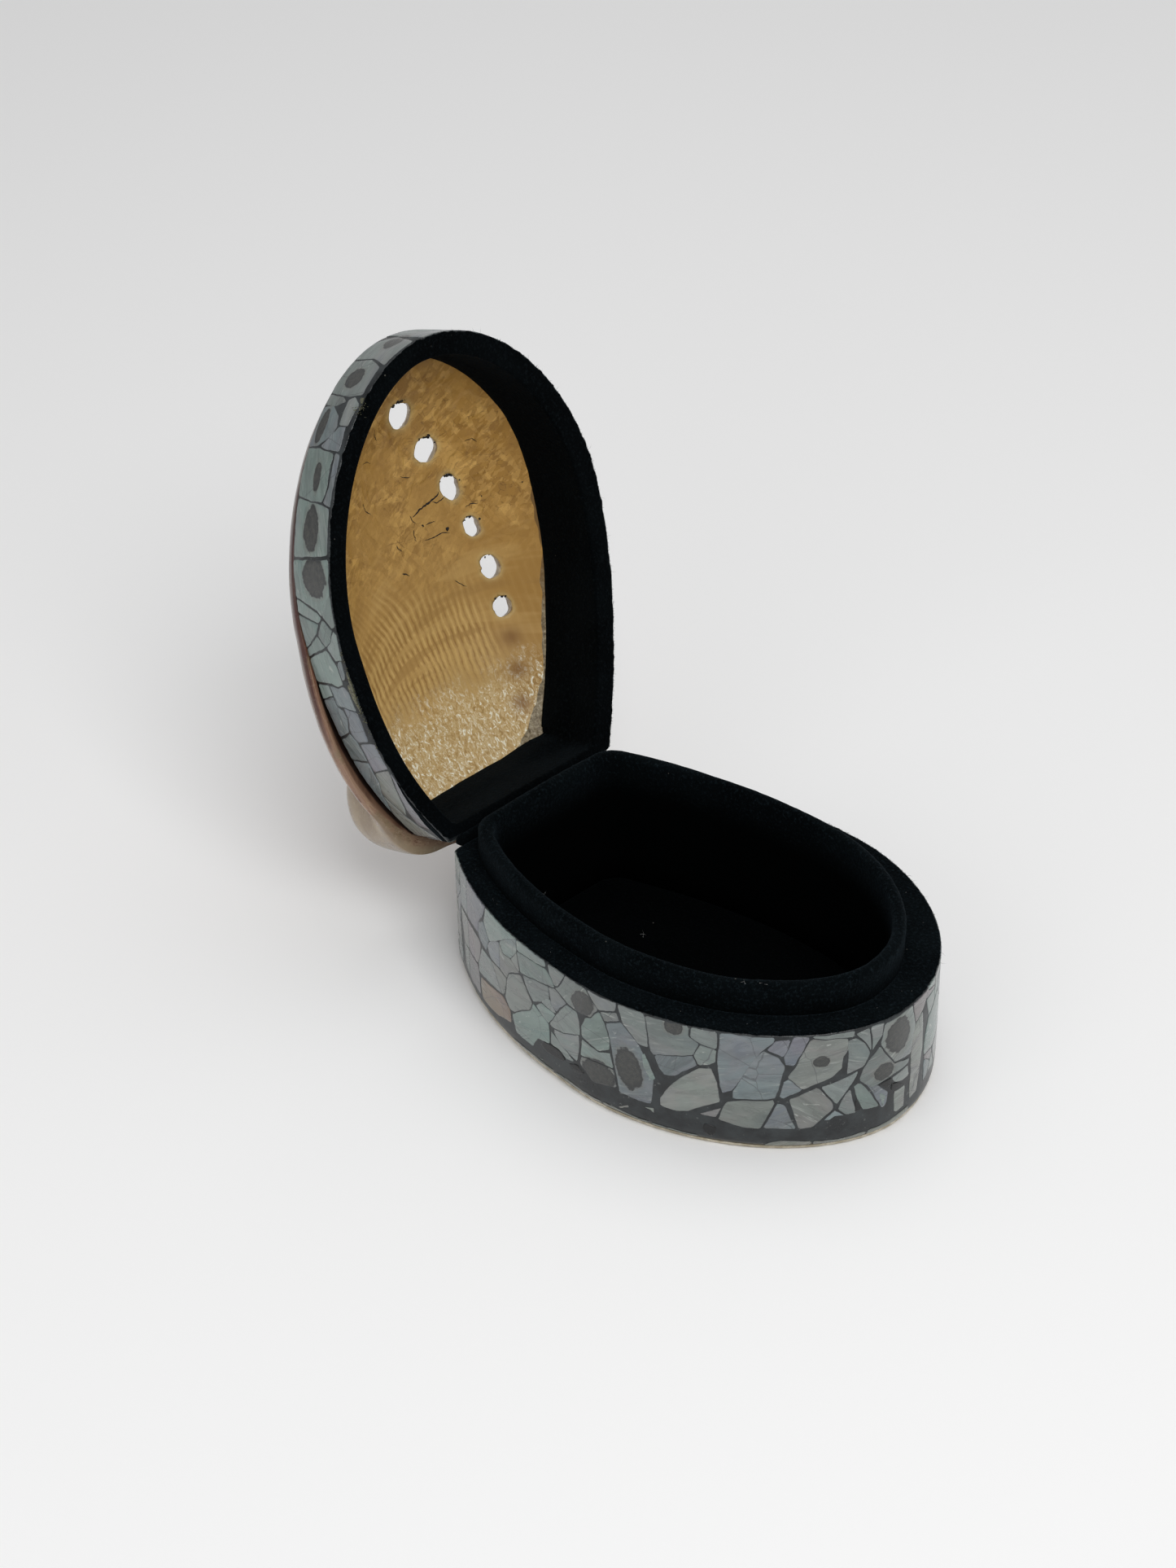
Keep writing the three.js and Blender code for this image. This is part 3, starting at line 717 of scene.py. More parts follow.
def mosaic(seed, wall, chips, spots, gap, high, lowest):
    """Every chip as a closed solid on the wall: its foot in the resin, a bevelled rim and a flat face."""
    rng = np.random.RandomState(seed)
    bend = [field(seed + k, w) for k, w in ((1, 9.0), (2, 9.0), (3, 1.7), (4, 1.7))]
    points, faces, kinds = [], [], []
    chip, grain, spot, rim = [], [], [], []
    for letter, polygon in chips:
        placed = letter is not None
        roundness = 0.045 if placed else (0.16 if rng.uniform() < 0.12 else rng.uniform(0.03, 0.08))
        edge = resample(soften(polygon, roundness), 0.5)
        edge = moved_in(edge, gap * (rng.uniform(-0.8, 0.3) if placed else rng.uniform(0.6, 1.8)))
        where = ringwise(edge[:, 0], edge[:, 1])
        swing = 0.12 if placed else 0.7
        edge = edge + np.c_[
            swing * bend[0](*where) + 0.06 * bend[2](*where), swing * bend[1](*where) + 0.06 * bend[3](*where)
        ]
        bottom = -9.0 if letter in ("W", "k", "v") else lowest(edge[:, 0])
        if (edge[:, 1] > bottom).sum() < 4 or edge[:, 1].min() > high - 0.4:
            continue
        edge[:, 1] = np.clip(edge[:, 1], bottom, high)
        if area(edge) < (0.1 if placed else 1.0):
            continue
        centre = edge.mean(0)
        away = edge - centre
        length = np.hypot(*away.T)[:, None]
        sunk = rng.uniform(0, 0.02)
        if letter in ("k", "c", "v", "W"):
            sunk = -0.03
        rings = [(edge, CHIP_FOOT, 0.0)]
        for inwards, depth in ((0.04, sunk + 0.04), (0.16, sunk + 0.008)):
            rings.append((edge - away * np.minimum(inwards / length, 0.6), depth, inwards / 0.35))
        for share in (0.84, 0.62, 0.36):
            rings.append((centre + away * share * np.maximum(1 - 0.16 / length, 0.4), sunk, 1.0))
        start, count = len(points), len(edge)
        turn = rng.normal(0.12, 0.4)
        c, s = math.cos(turn), math.sin(turn)
        tint = rng.choice([0.05, 0.2, 0.28, 0.4, 0.5, 0.66, 0.8])
        light, number = rng.uniform(-1, 1), rng.uniform()
        if placed:
            tint = TINTS.get(letter, 0.3) + rng.uniform(-0.03, 0.03)
        near = sorted((math.hypot(p[0] - centre[0], p[1] - centre[1]), p) for p in spots)
        near = near[0][1] if near and near[0][0] < 8.0 else None
        for ring, depth, inside in rings + [(centre[None], sunk, 1.0)]:
            for (a, b), (px, py, pz) in zip(ring, wall(ring[:, 0], ring[:, 1], depth)):
                points.append((px, py, pz))
                chip.append((tint, light, number))
                grain.append((a * c + b * s, b * c - a * s, 31.7 * number))
                rim.append(inside)
                if near:
                    ps, pz0, ra, rb, lean = near
                    da, db = a - ps, b - pz0
                    cl, sl = math.cos(lean), math.sin(lean)
                    spot.append(((da * cl + db * sl) / ra, (db * cl - da * sl) / rb, 0.0))
                else:
                    spot.append((9.0, 9.0, 0.0))
        anticlockwise = signed_area(edge) > 0
        for j in range(len(rings)):
            for k in range(count):
                a = start + j * count + k
                b = start + j * count + (k + 1) % count
                if j + 1 < len(rings):
                    quad = [a, b, b + count, a + count]
                else:
                    quad = [a, b, start + len(rings) * count]
                faces.append(quad if anticlockwise else quad[::-1])
        base = [start + k for k in range(count)]
        faces.append(base[::-1] if anticlockwise else base)
        kinds += [{"k": 2, "c": 3, "v": 4}.get(letter, 0)] * (len(rings) * count + 1)
    return points, faces, kinds, chip, grain, spot, rim


def with_bed(name, parts, section, body, node):
    """Adds the resin bed, a closed ring of the given section rows, and makes the piece."""
    points, faces, kinds, chip, grain, spot, rim = parts
    start = len(points)
    for row in section:
        points += [tuple(p) for p in row]
    extra = len(points) - start
    chip += [(0.0, 0.0, 0.0)] * extra
    grain += [(0.0, 0.0, 0.0)] * extra
    spot += [(9.0, 9.0, 0.0)] * extra
    rim += [1.0] * extra
    more = grid_faces(len(section), len(section[0]), start)
    faces += more
    kinds += [1] * len(more)
    return make(
        name, points, faces, body, [NACRE, RESIN, BLACK, GLUE, VELVET], kinds,
        {"chip": chip, "grain": grain, "spot": spot, "rim": rim}, [node],
    )


def foot_inset(z):
    """How far the round bottom edge turns in at this height."""
    turn = np.arccos(np.clip(1 - (z - TRAY) / 2.2, 0, 1))
    return 0.6 * (1 - np.sin(turn))


def base_wall(s, z, depth):
    x, y = OUTER.at(s, depth + foot_inset(z))
    z = np.minimum(z, HINGE_Z - np.sqrt(np.clip(HINGE_ROOM**2 - (x + LENGTH / 2) ** 2, 0, None)))
    return np.c_[x, y, z]


def lid_wall(s, h, depth):
    x, y = OUTER.at(s, depth)
    h = np.maximum(h, np.sqrt(np.clip(HINGE_ROOM**2 - (x + LENGTH / 2) ** 2, 0, None)))
    return np.c_[x, y, h]


ROUND = np.linspace(0, OUTER.total, 640, endpoint=False)
ROUND_ANGLES = np.arctan2(*OUTER.at(ROUND)[::-1])
ragged_foot = field(71, 13.0)
small_foot = field(72, 3.4)


def band_top(s):
    where = ringwise(s)
    return TRAY + 3.2 + 0.9 * ragged_foot(*where)


def rows_round(wall, section):
    """A loop round the wall for each depth and height of the section."""
    return [wall(ROUND, np.full(len(ROUND), height), depth) for depth, height in section]


BASE_SECTION = (
    (0.11, TRAY), (0.10, TRAY + 0.15), (0.09, TRAY + 0.5), (0.08, TRAY + 1.1), (0.08, TRAY + 2.2),
    (0.10, 9.0), (0.10, 15.0), (0.10, 21.0), (0.10, BASE_TOP - 0.25), (0.3, BASE_TOP),
    (1.0, BASE_TOP), (1.0, 14.0), (1.0, TRAY + 0.05),
)
LID_SECTION = (
    (1.0, LID_WALL), (1.0, 0.3), (0.3, 0.3), (0.1, 0.5), (0.1, 4.0), (0.1, 8.0), (0.1, LID_WALL - 0.3),
    (0.35, LID_WALL),
)

# Dark ovals: place along and up the wall, half sizes and lean
BASE_SPOTS = [
    (48.1, 22.9, 2.7, 2.2, 0.7), (58.1, 12.8, 2.4, 4.1, 0.15), (51.7, 8.6, 3.4, 2.7, 0.0),
    (66.9, 25.7, 1.7, 1.5, 0.3), (93.2, 20.7, 1.35, 1.15, 0.0), (108.3, 21.8, 2.6, 3.6, 0.1),
    (105.2, 14.9, 1.9, 1.8, 0.0),
    (131.0, 16.0, 2.4, 3.4, 0.2), (146.0, 22.0, 2.0, 1.6, 0.6), (168.0, 11.5, 3.2, 2.2, 0.2),
    (184.0, 20.0, 2.4, 3.6, 0.3), (207.0, 12.0, 1.6, 1.4, 0.0), (233.0, 17.0, 3.0, 2.2, 0.3),
]
LID_SPOTS = [
    (59.1, 5.0, 3.3, 3.1, 0.0), (67.9, 6.0, 3.7, 2.0, 0.0), (77.4, 6.3, 2.7, 0.9, 0.1),
    (86.8, 9.2, 3.2, 1.0, 0.0), (97.0, 6.8, 2.1, 2.0, 0.0), (108.0, 6.0, 2.8, 1.8, 0.1),
    (128.0, 6.0, 3.4, 2.1, 0.2), (160.0, 5.0, 2.6, 2.2, 0.0), (196.0, 6.4, 3.2, 2.3, 0.1),
]
# Chips of the near side: a tint letter, then corners as mm along the wall and mm up it
BASE_CHIPS = """
b 5,26.6 10,26.7 9.8,18 5.2,17.2
l 10,26.7 19,26.7 17.9,23.9 16,21 15.6,18.2 9.8,18
t 19,26.7 30,26.7 27.1,24.8 25,22.9 23.3,21.6 20.4,19.7 18.3,22.8
t 30,26.7 30.1,23.7 27.9,20.8 25.6,20.3 24.4,22 25,22.9 27.1,24.8
b 20.4,19.7 23.3,21.6 24.4,22 24.2,15.8 20.8,16 19.6,18
w 24.4,22 25.6,20.3 27.9,20.8 30.8,19.3 27.5,17.2 26.7,15.3 24.2,15.8
w 30.1,23.7 27.9,20.8 30.8,19.3
b 16,21 18.3,22.8 20.4,19.7 19.6,18 19,16.6 16.7,17 15.6,18.2
p 10,17.2 16,17 16.7,16.2 16,13.2 14.8,10.3 10,10.3
w 5.2,17 10,17.2 10,10.3 7.3,9.5 5.8,13.2
g 17.1,16 20.8,15.8 22.1,14.5 25,10.3 15.4,8.9 15.2,11.2 16,13.2
w 20.8,15.8 24.2,15.7 26.7,15.2 25.8,11.2 25,10.3 22.1,14.5
w 26.7,15.2 27.5,17 31,19.1 32.9,16.8 34.6,14.7 33.8,12.8 28.8,8.9 27.1,8.5 25.9,10.3
o 16.2,8.2 25,10 27.1,8.5 27.7,5.3 23.3,3.7 16.7,3.2 15.8,5.3
p 10,10.1 14.8,10.1 15.6,8.5 15.6,3.2 10,3.7
w 6.7,9.3 10,10.1 10,3.7 7.5,4.5
t 30.1,26.6 38.3,26.7 38.5,25.5 35.4,24.7 30.1,24.2
t 30.1,24 38.5,25.1 40,24.1 41,22.2 36.2,20.8 31,19.6
g 31.7,19.5 36.2,20.7 39.4,21.4 39.4,18.7 37.1,16.6 34.9,15.3 32.9,17.2
g 39,26.7 43.7,26.7 41.7,23 41,22.6 39.4,24.9
g 43.8,26.7 48.5,26.7 51.7,23.2 50,20.8 46.2,20.3 44.2,20.5 41,22.2 42.1,23.2
g 39.4,21.4 41,22.1 44,20.3 41,16.6 39.8,17.8
g 37.1,16.6 38.3,18.5 39.6,18.5 41,16.4 40.2,16.1
t 35.6,14.9 37.1,16.4 40.2,16.1 40.8,15.8 38.8,12.6 37.5,13.2
t 28.8,8.7 34,12.8 34.9,14.9 38.8,12.6 39.2,8 35.8,7.2 34.2,4.3 29.2,4.3 27.7,7.8
g 39,12.6 41,16.1 44,20.1 46.5,20.1 47.3,17 47.3,14.9 43.3,13 40,12.4
g 40.2,12.2 43.3,12.9 47.1,14.7 47,11.2 46.5,8.2 42.1,9.5 40.2,11.4
g 39.4,11.2 40,11 45.8,7.8 43.8,7 41.7,8 39.4,8.2
t 47.7,17.4 48.5,20.1 50.2,20.8 51.9,23 53.3,20.8 54.2,17 54,15.1 51.9,13.7 47.7,15.1
t 47.7,14.5 51.9,13.5 54.2,14.5 55,11.2 48.8,11 47.3,10.5
g 47.5,10.3 48.8,10.8 54.9,10.9 55.3,7 50.4,5.8 47.1,8.2
g 48.8,26.7 55.8,26.7 55.4,24.9 51.7,23.2
g 52.1,23 55.6,24.7 56.2,23 53.2,21.4
g 56,26.7 61.3,26.7 62.1,19.3 60,19.5 56.7,23
b 53.5,21.2 56.5,22.9 60.2,19.3 61.2,17 62.5,14.5 63.1,11.6 62.5,6.2 56,6.2 55.4,10.3 54.2,17.8
t 60.7,17.4 61.3,17.6 63.4,12.4 62.7,11.8 60.9,14.5
g 61.4,26.4 69.5,26.6 69.5,24.5 71.6,23.2 70.6,20.3 63.1,18 62.5,18.7 61.8,23.2
g 69.8,26.6 74.8,26.6 74.8,22.4 71.8,23.2 69.8,24.4
g 71.8,23 74.8,22.2 74.7,19.5 73.5,18.7 71.4,18.2 70.6,20.2
b 63.3,18 70.4,20.1 71.2,18.2 68.5,16 67,14.5 65,14.1 64.1,15.3
w 73.9,18 75,14.9 75.6,10.8 72.7,9.1 69.8,7 67.7,6.4 64.3,6.6 64.3,8.2 66,11.6 68.1,14.5 71.4,17.6
b 75.2,26.5 84.8,26.6 84.8,25.8 82.7,23.5 80.2,18.7 77.7,13.7 76,12.6 75.4,14.9 75,19.5
b 82.9,23.5 85.8,21.8 86.8,19.9 86.2,17.4 85.8,14.5 85.2,12.4 77.9,11.8 77.7,13.2 79.3,17 81,20.8
l 83.5,23.7 84.8,25.8 87.7,26.2 87.2,23.7 86.4,22
l 88.1,26.5 91,26.5 89.8,23.2 88.5,20.1 86.8,20.3 86.6,22.4 87.5,24.5
w 91.2,26 97.7,25.3 98.3,23.2 97.2,21.2 97,18.5 94.8,16.6 90.2,14.5 87.2,17.4 88.9,20.1 89.8,23
g 91.4,26.6 99.1,26.6 98.9,25.3 97.7,25.4 91.4,26.2
b 86,12.8 86.6,16.6 87.5,17 90.2,14.5 87.7,13.2 86.6,12.4
w 76.8,10.8 79.3,11.6 84.8,12 85.2,11.4 82.7,5.3 79.3,5.1 75.2,6.6 76,9.5
p 71.8,7 75.8,9.5 74.8,7
b 85.6,11.2 86.8,11 88.9,5.5 83.1,5.4
w 87.7,12.4 92.7,14.7 95.4,11 95.6,9.5 93.5,7.4 91.8,5.5 89.3,5.5 88.1,10.3
g 93.1,14.7 100.2,17.2 98.9,14.5 97.7,12.4 96.2,10.3
b 95.8,9.1 97.7,7.4 96,7 93.7,7
g 97.7,24.5 99.3,24.9 101,23 102.2,20.3 101,17.8 97.9,17 98.1,20.8
g 99.3,25.8 102,26.5 102.2,20.8 101.2,23
g 102.2,26.5 104.8,26.5 104.5,23.7 102.5,20.8
g 105,26 111.8,26.5 112.9,21.6 111.8,15.3 107.7,15.8 106,18.7 104.1,21.6
g 102.2,19.1 104.1,21.2 105.8,18.5 107.7,15.5 111.4,14.5 111.2,13.5 107.7,13.2 102.7,12.2 100.2,14.9 101,17.4
g 97.9,12.4 98.7,13.2 99.5,9.5 99.8,7.4 98.1,7.4 96.4,9.1
t 99.3,13.7 100.4,14.3 102.5,11.2 104.5,7.2 101.2,7.6 100.2,10.3
b 101.2,14.5 102.2,12.6 103.9,12.4 104.8,11.2 106.4,9.5 106.2,7.4 105.2,6.2 103.9,9.1
g 107,12.4 111,13.2 111.6,10.3 109.8,10.1 107.7,11
t 104.3,10.3 106.2,8.9 105.2,6.6
w 107.9,8.7 110.7,8.7 110.6,3.7 107.9,3.7
w 112.2,20.8 115.2,22.8 116,14.5 114.3,4.5 112.2,4.5 111.8,14.5
p 112,26.5 117.7,26.5 115.6,23.2 112.9,21.6
k 36.7,6.3 37.5,7.6 39.5,8.1 42,7.9 43.4,6.8 42.6,5.9 39.5,5.5 37.4,5.8
k 44.3,6.4 45.6,7.3 46.6,7.5 48.3,6.5 47,6 45,6
k 72.2,3.9 72.6,4.8 73.4,4.9 74.3,4.8 74.9,4.3 74.6,2.9 73.7,2.2 72.6,2.8
k 103.9,12.4 107,12.6 107,11 106.2,10.5
k 107,9.5 110.2,9.1 108.5,10.6 107.2,10.9
k 99.8,10.3 101.2,7.9 99.5,7.6
W 55.7,2.6 57.9,4.2 58.1,3.8 56.1,2.4
W 61.2,5.2 63.1,5.5 63.3,4.3 62.6,4.9
W 36.2,2.6 37.2,3.1 37,2.7
W 28,1.5 40,1.4 40,1.9 34,2.2 28,2
W 40.5,1.4 52,1.4 52,2 46,2.2 40.5,1.9
W 52.4,1.4 62,1.4 62,1.8 52.4,2
W 62.4,1.4 71.5,1.4 71.5,1.7 62.4,1.8
W 83.2,1.3 92,1.2 92,2.1 86,2.5 84.6,2.1
W 92.3,1.2 102,1.2 102,2.2 97,1.9 92.3,2.1
W 102.3,1.2 112,1.2 112,2.9 108,2.6 102.3,2.2
"""
LID_CHIPS = """
v 0.3,1.5 0.3,2.7 3,2.4 6,2.5 9,2 13,1.3 18,0.7 18,0.5 9,0.5 4,0.6 1.5,1.2
c 33,0.5 35,1.2 37.5,1.9 38.8,2 39.2,1 41,0.9 42,0.5 38,0.4
c 91.6,0.4 92,1.5 92.9,1.8 93,0.5
t 50.2,1.6 52.3,3.9 54.5,2.6 56.2,0.8 55,0.5 50.5,0.5
b 39.5,3.1 42.5,3.2 43.2,2.6 43.8,1.2 41,1.6 39.8,2
w 7.5,6.8 13.8,8.8 16.7,6.8 19.4,6.1 20.8,0.9 13.8,3 10,4.9
b 8.3,10.9 21.7,11.1 21.7,6.1 16.7,6.8 13.8,8.8 10.8,9.7
b 21.9,11.1 26.7,11.1 27.1,9.7 28.5,7.4 26.7,6.1 22.1,6.1
b 27.1,11.1 35.2,11.2 36,7.8 34.2,7.7 33.3,6.1 31.7,5.9 28.8,7.4
l 19.6,6 25.8,5.7 26.7,2 26.7,0.7 21.2,0.7
l 26.2,5.9 28.8,7 31.7,5.7 34,5.6 33.3,1.8 27.1,2.1
t 35.4,11.2 38.3,11.1 38.5,7.8 36.2,7.8
b 34.2,7.6 38.4,7.6 38.1,5.1 38.5,3.2 37.5,2.2 33.5,1.8 34,5.5
t 38.8,11.2 43.3,11.1 45.8,5.1 42.5,3.4 38.8,3.2 38.3,5.1 38.8,6.8
t 43.7,11.1 45.2,11.1 48.3,6.8 46.2,5.1
t 46.2,4.9 48.3,6.5 51.7,4 49.8,1.8 47.5,3
t 45.4,11.1 52.1,11.1 50.6,5.3 48.5,7
t 52.4,11.1 55,11.1 52.7,5.1 51.9,4.2 50.8,5.3
t 43.3,3 46.2,4.7 47.5,3 49.8,1.5 49.2,0.7 43.8,0.9
t 55.2,11.1 62,11.2 62.3,5.1 62.8,0.7 55.8,0.7 52.1,4 53.1,5.1
l 10,4.5 13.8,2.8 20.6,0.7 10.4,0.5 4.2,2.6 5,5.5
w 0.8,10.9 7.9,10.9 10.4,9.7 13.3,8.8 7.1,6.8 4.6,5.7 1.2,3.4
t 62.5,11 73.3,11 72.5,5.1 71.8,1.1 63.5,0.9 62.9,5.1
t 73.7,11 82.5,11 82.7,8 81.6,3 78.1,3 75.2,2.6 72.7,3.6 72.9,6.8
b 72.5,3.2 75.2,2.1 81.8,2.5 81.4,0.9 72,0.8
b 82.7,11 90.6,11 91,8.4 89.3,5.7 87,4.7 85.2,5.3 83.1,8.4
b 82.9,7.6 86.8,4 86.8,2 82,1.5 82.3,5.1
g 87,4.2 92.2,4.9 92.9,3.4 91.4,1.1 86.9,1.5
g 91,11 93.1,11 92.9,6.8 91.8,5.5 90.8,8.2
g 93.4,11 101,11 101.8,6.3 99.8,1.8 93.5,1.8 92.9,4.7 93.1,6.8
g 101.4,11 107,11 109.8,7.6 108.1,0.9 100.2,0.9 102,5.9
"""


NEAR_FOOT = (
    [0, 20, 27, 34, 37, 48, 58, 66, 76, 84, 92, 96, 106, 108.5, 112],
    [3.2, 3.4, 3.6, 3.9, 5.0, 5.2, 5.6, 6.3, 5.2, 5.0, 5.4, 7.4, 6.4, 3.6, 4.0],
)


def chips_foot(s):
    """The height at which the resin band ends and the chips begin."""
    return np.where(s < 112, np.interp(s, *NEAR_FOOT), band_top(s)) + 0.15 * small_foot(*ringwise(s))


def lid_chips_foot(s):
    return 0.42 + 0.12 * small_foot(*ringwise(s))


def rest_of(seed, start, end, low, high, pitch, tall, spots, chance):
    """Chips of the side that the photo hides, from a random net."""
    rng = np.random.RandomState(seed)
    chips = []
    for cell in net(rng, start, end, low, high, pitch, tall, spots):
        at = cell.mean(0)
        holds = any(math.hypot(p[0] - at[0], p[1] - at[1]) < 3.5 for p in spots)
        chips += [(None, part) for part in broken(rng, cell, 0.0 if holds else chance, 5.0)]
    return chips


base_chips = drawn(BASE_CHIPS) + rest_of(
    11, 116.6, OUTER.total + 4.9, TRAY + 1.0, BASE_TOP, 10.0, 0.95, BASE_SPOTS, 0.8
)
with_bed(
    "shell_mosaic_base", mosaic(3, base_wall, base_chips, BASE_SPOTS, 0.05, BASE_TOP, chips_foot),
    rows_round(base_wall, BASE_SECTION),
    "base", "base_mosaic",
)
lid_chips = drawn(LID_CHIPS) + rest_of(
    23, 109.9, OUTER.total + 0.7, 0.3, LID_WALL, 11.5, 0.55, LID_SPOTS, 0.75
)
with_bed(
    "shell_mosaic_lid",
    mosaic(4, lid_wall, lid_chips, LID_SPOTS, 0.05, LID_WALL - 0.1, lid_chips_foot),
    rows_round(lid_wall, LID_SECTION), "lid", "lid_mosaic",
)


# Velvet


def ring_piece(name, rows, body, look, node, turned=False):
    """A closed ring of velvet with these loops for its section."""
    faces = grid_faces(len(rows), len(rows[0]), turned=turned)
    return make(name, np.vstack(rows), faces, body, [look], replaces=[node])


def lifted(points, height):
    return np.c_[points, np.full(len(points), height) if np.ndim(height) == 0 else height]


fray = field(31, 2.4)
fine_fray = field(32, 0.9)
pad_wave = field(33, 16.0)


def frayed(inset, amount=0.1):
    """The outer plan loop moved in by inset, ragged like a cut velvet edge."""
    where = ringwise(ROUND)
    x, y = OUTER.at(ROUND, inset + amount * fray(*where) + 0.6 * amount * fine_fray(*where))
    return np.c_[x, y]


def clear_of_hinge(points, height):
    """Keeps a loop's points out of the room that the hinge roll needs."""
    reach = np.sqrt(np.clip(HINGE_ROOM**2 - height**2, 0, None))
    points = points.copy()
    points[:, 0] = np.maximum(points[:, 0], -LENGTH / 2 + reach)
    return points


def ledge():
    """The flat ring of velvet on top of the wall, under the lid's rim."""
    inner = fitted(COLLAR_FIT, plan(ROUND_ANGLES, 6.1, COLLAR_BEND))
    rows = []
    for inset, z in ((1.3, LEDGE_FOOT), (0.42, 26.84), (0.24, 26.9), (0.3, 26.98), (0.55, 27.03)):
        rows.append(lifted(clear_of_hinge(frayed(inset), HINGE_Z - z), z))
    outer = rows[-1][:, :2]
    for share in (0.12, 0.3, 0.5, 0.7, 0.86, 1.0):
        loop = outer + (inner - outer) * share
        wave = 0.05 * pad_wave(loop[:, 0] * 2, loop[:, 1] * 2) + 0.02 * fine_fray(loop[:, 0], loop[:, 1])
        rows.append(lifted(loop, 27.0 + wave))
    rows.append(lifted(inner, LEDGE_FOOT))
    return ring_piece("velvet_ledge", rows, "base", VELVET, "ledge_velvet")


def collar():
    """The velvet-covered strip inside the wall, round along its top."""
    rows = []
    half = (COLLAR_INNER - COLLAR_OUTER) / 2
    section = [(COLLAR_OUTER, z) for z in (COLLAR_FOOT, 10.0, 18.0, 24.0, 26.5, 28.5, 30.5)]
    for k in range(11):
        c, s = math.cos(k / 10 * np.pi), math.sin(k / 10 * np.pi)
        section.append((COLLAR_OUTER + half * (1 - c), COLLAR_TOP - half + half * s))
    section += [(COLLAR_INNER, z) for z in (30.5, 27.0, 22.0, 16.0, 10.0, COLLAR_FOOT)]
    for inset, z in section:
        loop = fitted(COLLAR_FIT, plan(ANGLES, inset, COLLAR_BEND))
        wave = 0.16 * pad_wave(loop[:, 0], loop[:, 1], z) + 0.03 * fray(loop[:, 0], loop[:, 1], z)
        outwards = loop / np.hypot(*loop.T)[:, None]
        shown = smooth(z, 26.0, 29.0)
        drop = 0.1 * pad_wave(loop[:, 0], loop[:, 1]) * shown
        loop = loop + outwards * (wave * (0.3 + 0.7 * shown))[:, None] - outwards * 0.1
        rows.append(lifted(loop, z - abs(drop)))
    return ring_piece("velvet_collar", rows, "base", COLLAR_VELVET, "collar_velvet")


def floor_pad():
    outline = fitted(COLLAR_FIT, plan(ANGLES, 8.1, COLLAR_BEND))
    rows = [lifted(outline, PAD_FOOT)]
    for share in (1.0, 0.985, 0.95, 0.88, 0.78, 0.66, 0.53, 0.4, 0.27, 0.14):
        loop = outline * share
        height = PAD_TOP - 0.1 * smooth(share, 0.97, 1.0) + 0.04 * pad_wave(loop[:, 0], loop[:, 1])
        rows.append(lifted(loop, height))
    points = np.vstack(rows + [[(0, 0, PAD_TOP)], [(0, 0, PAD_FOOT)]])
    count = len(outline)
    last, top = (len(rows) - 1) * count, len(rows) * count
    faces = grid_faces(len(rows), count, close=False) + fan(last, count, top) + fan(0, count, top + 1, True)
    return make("velvet_floor", points, faces, "base", [SHADED_FLOOR_VELVET], replaces=["floor_velvet"])


def shell_radius(angles):
    """Reach of the shell's outline: the plan's sides, met by a larger ellipse at the hinge end."""
    c, s = np.cos(angles), np.sin(angles)
    x, y, along, across = 8.5, -2.0, 60.0, 60.0
    a = (c / along) ** 2 + (s / across) ** 2
    b = c * x / along**2 + s * y / across**2
    d = (x / along) ** 2 + (y / across) ** 2 - 1
    cap = (b + np.sqrt(b * b - a * d)) / a
    flare = 3.0 * np.clip(-c, 0, None) * np.clip(-s, 0, None)
    sides = inset_radius(angles, 1.6 * c - 0.3 - flare, ON_SIDES)
    return (cap**-20 + sides**-20) ** (-1 / 20)


_turns = np.linspace(-np.pi, np.pi, 2881)
_radii = shell_radius(_turns)


def dome(share):
    """Rise of the smooth dome at this share of the way from its middle to the rim."""
    return DOME_RISE * (1 - share**DOME_FULLNESS)


def inner_height(x, y):
    """Height of the shell's smooth inner face over the plan."""
    share = np.hypot(x, y) / (np.interp(np.arctan2(y, x), _turns, _radii) - EDGE_WIDTH)
    return SEAT + dome(np.clip(share, 0, 1))


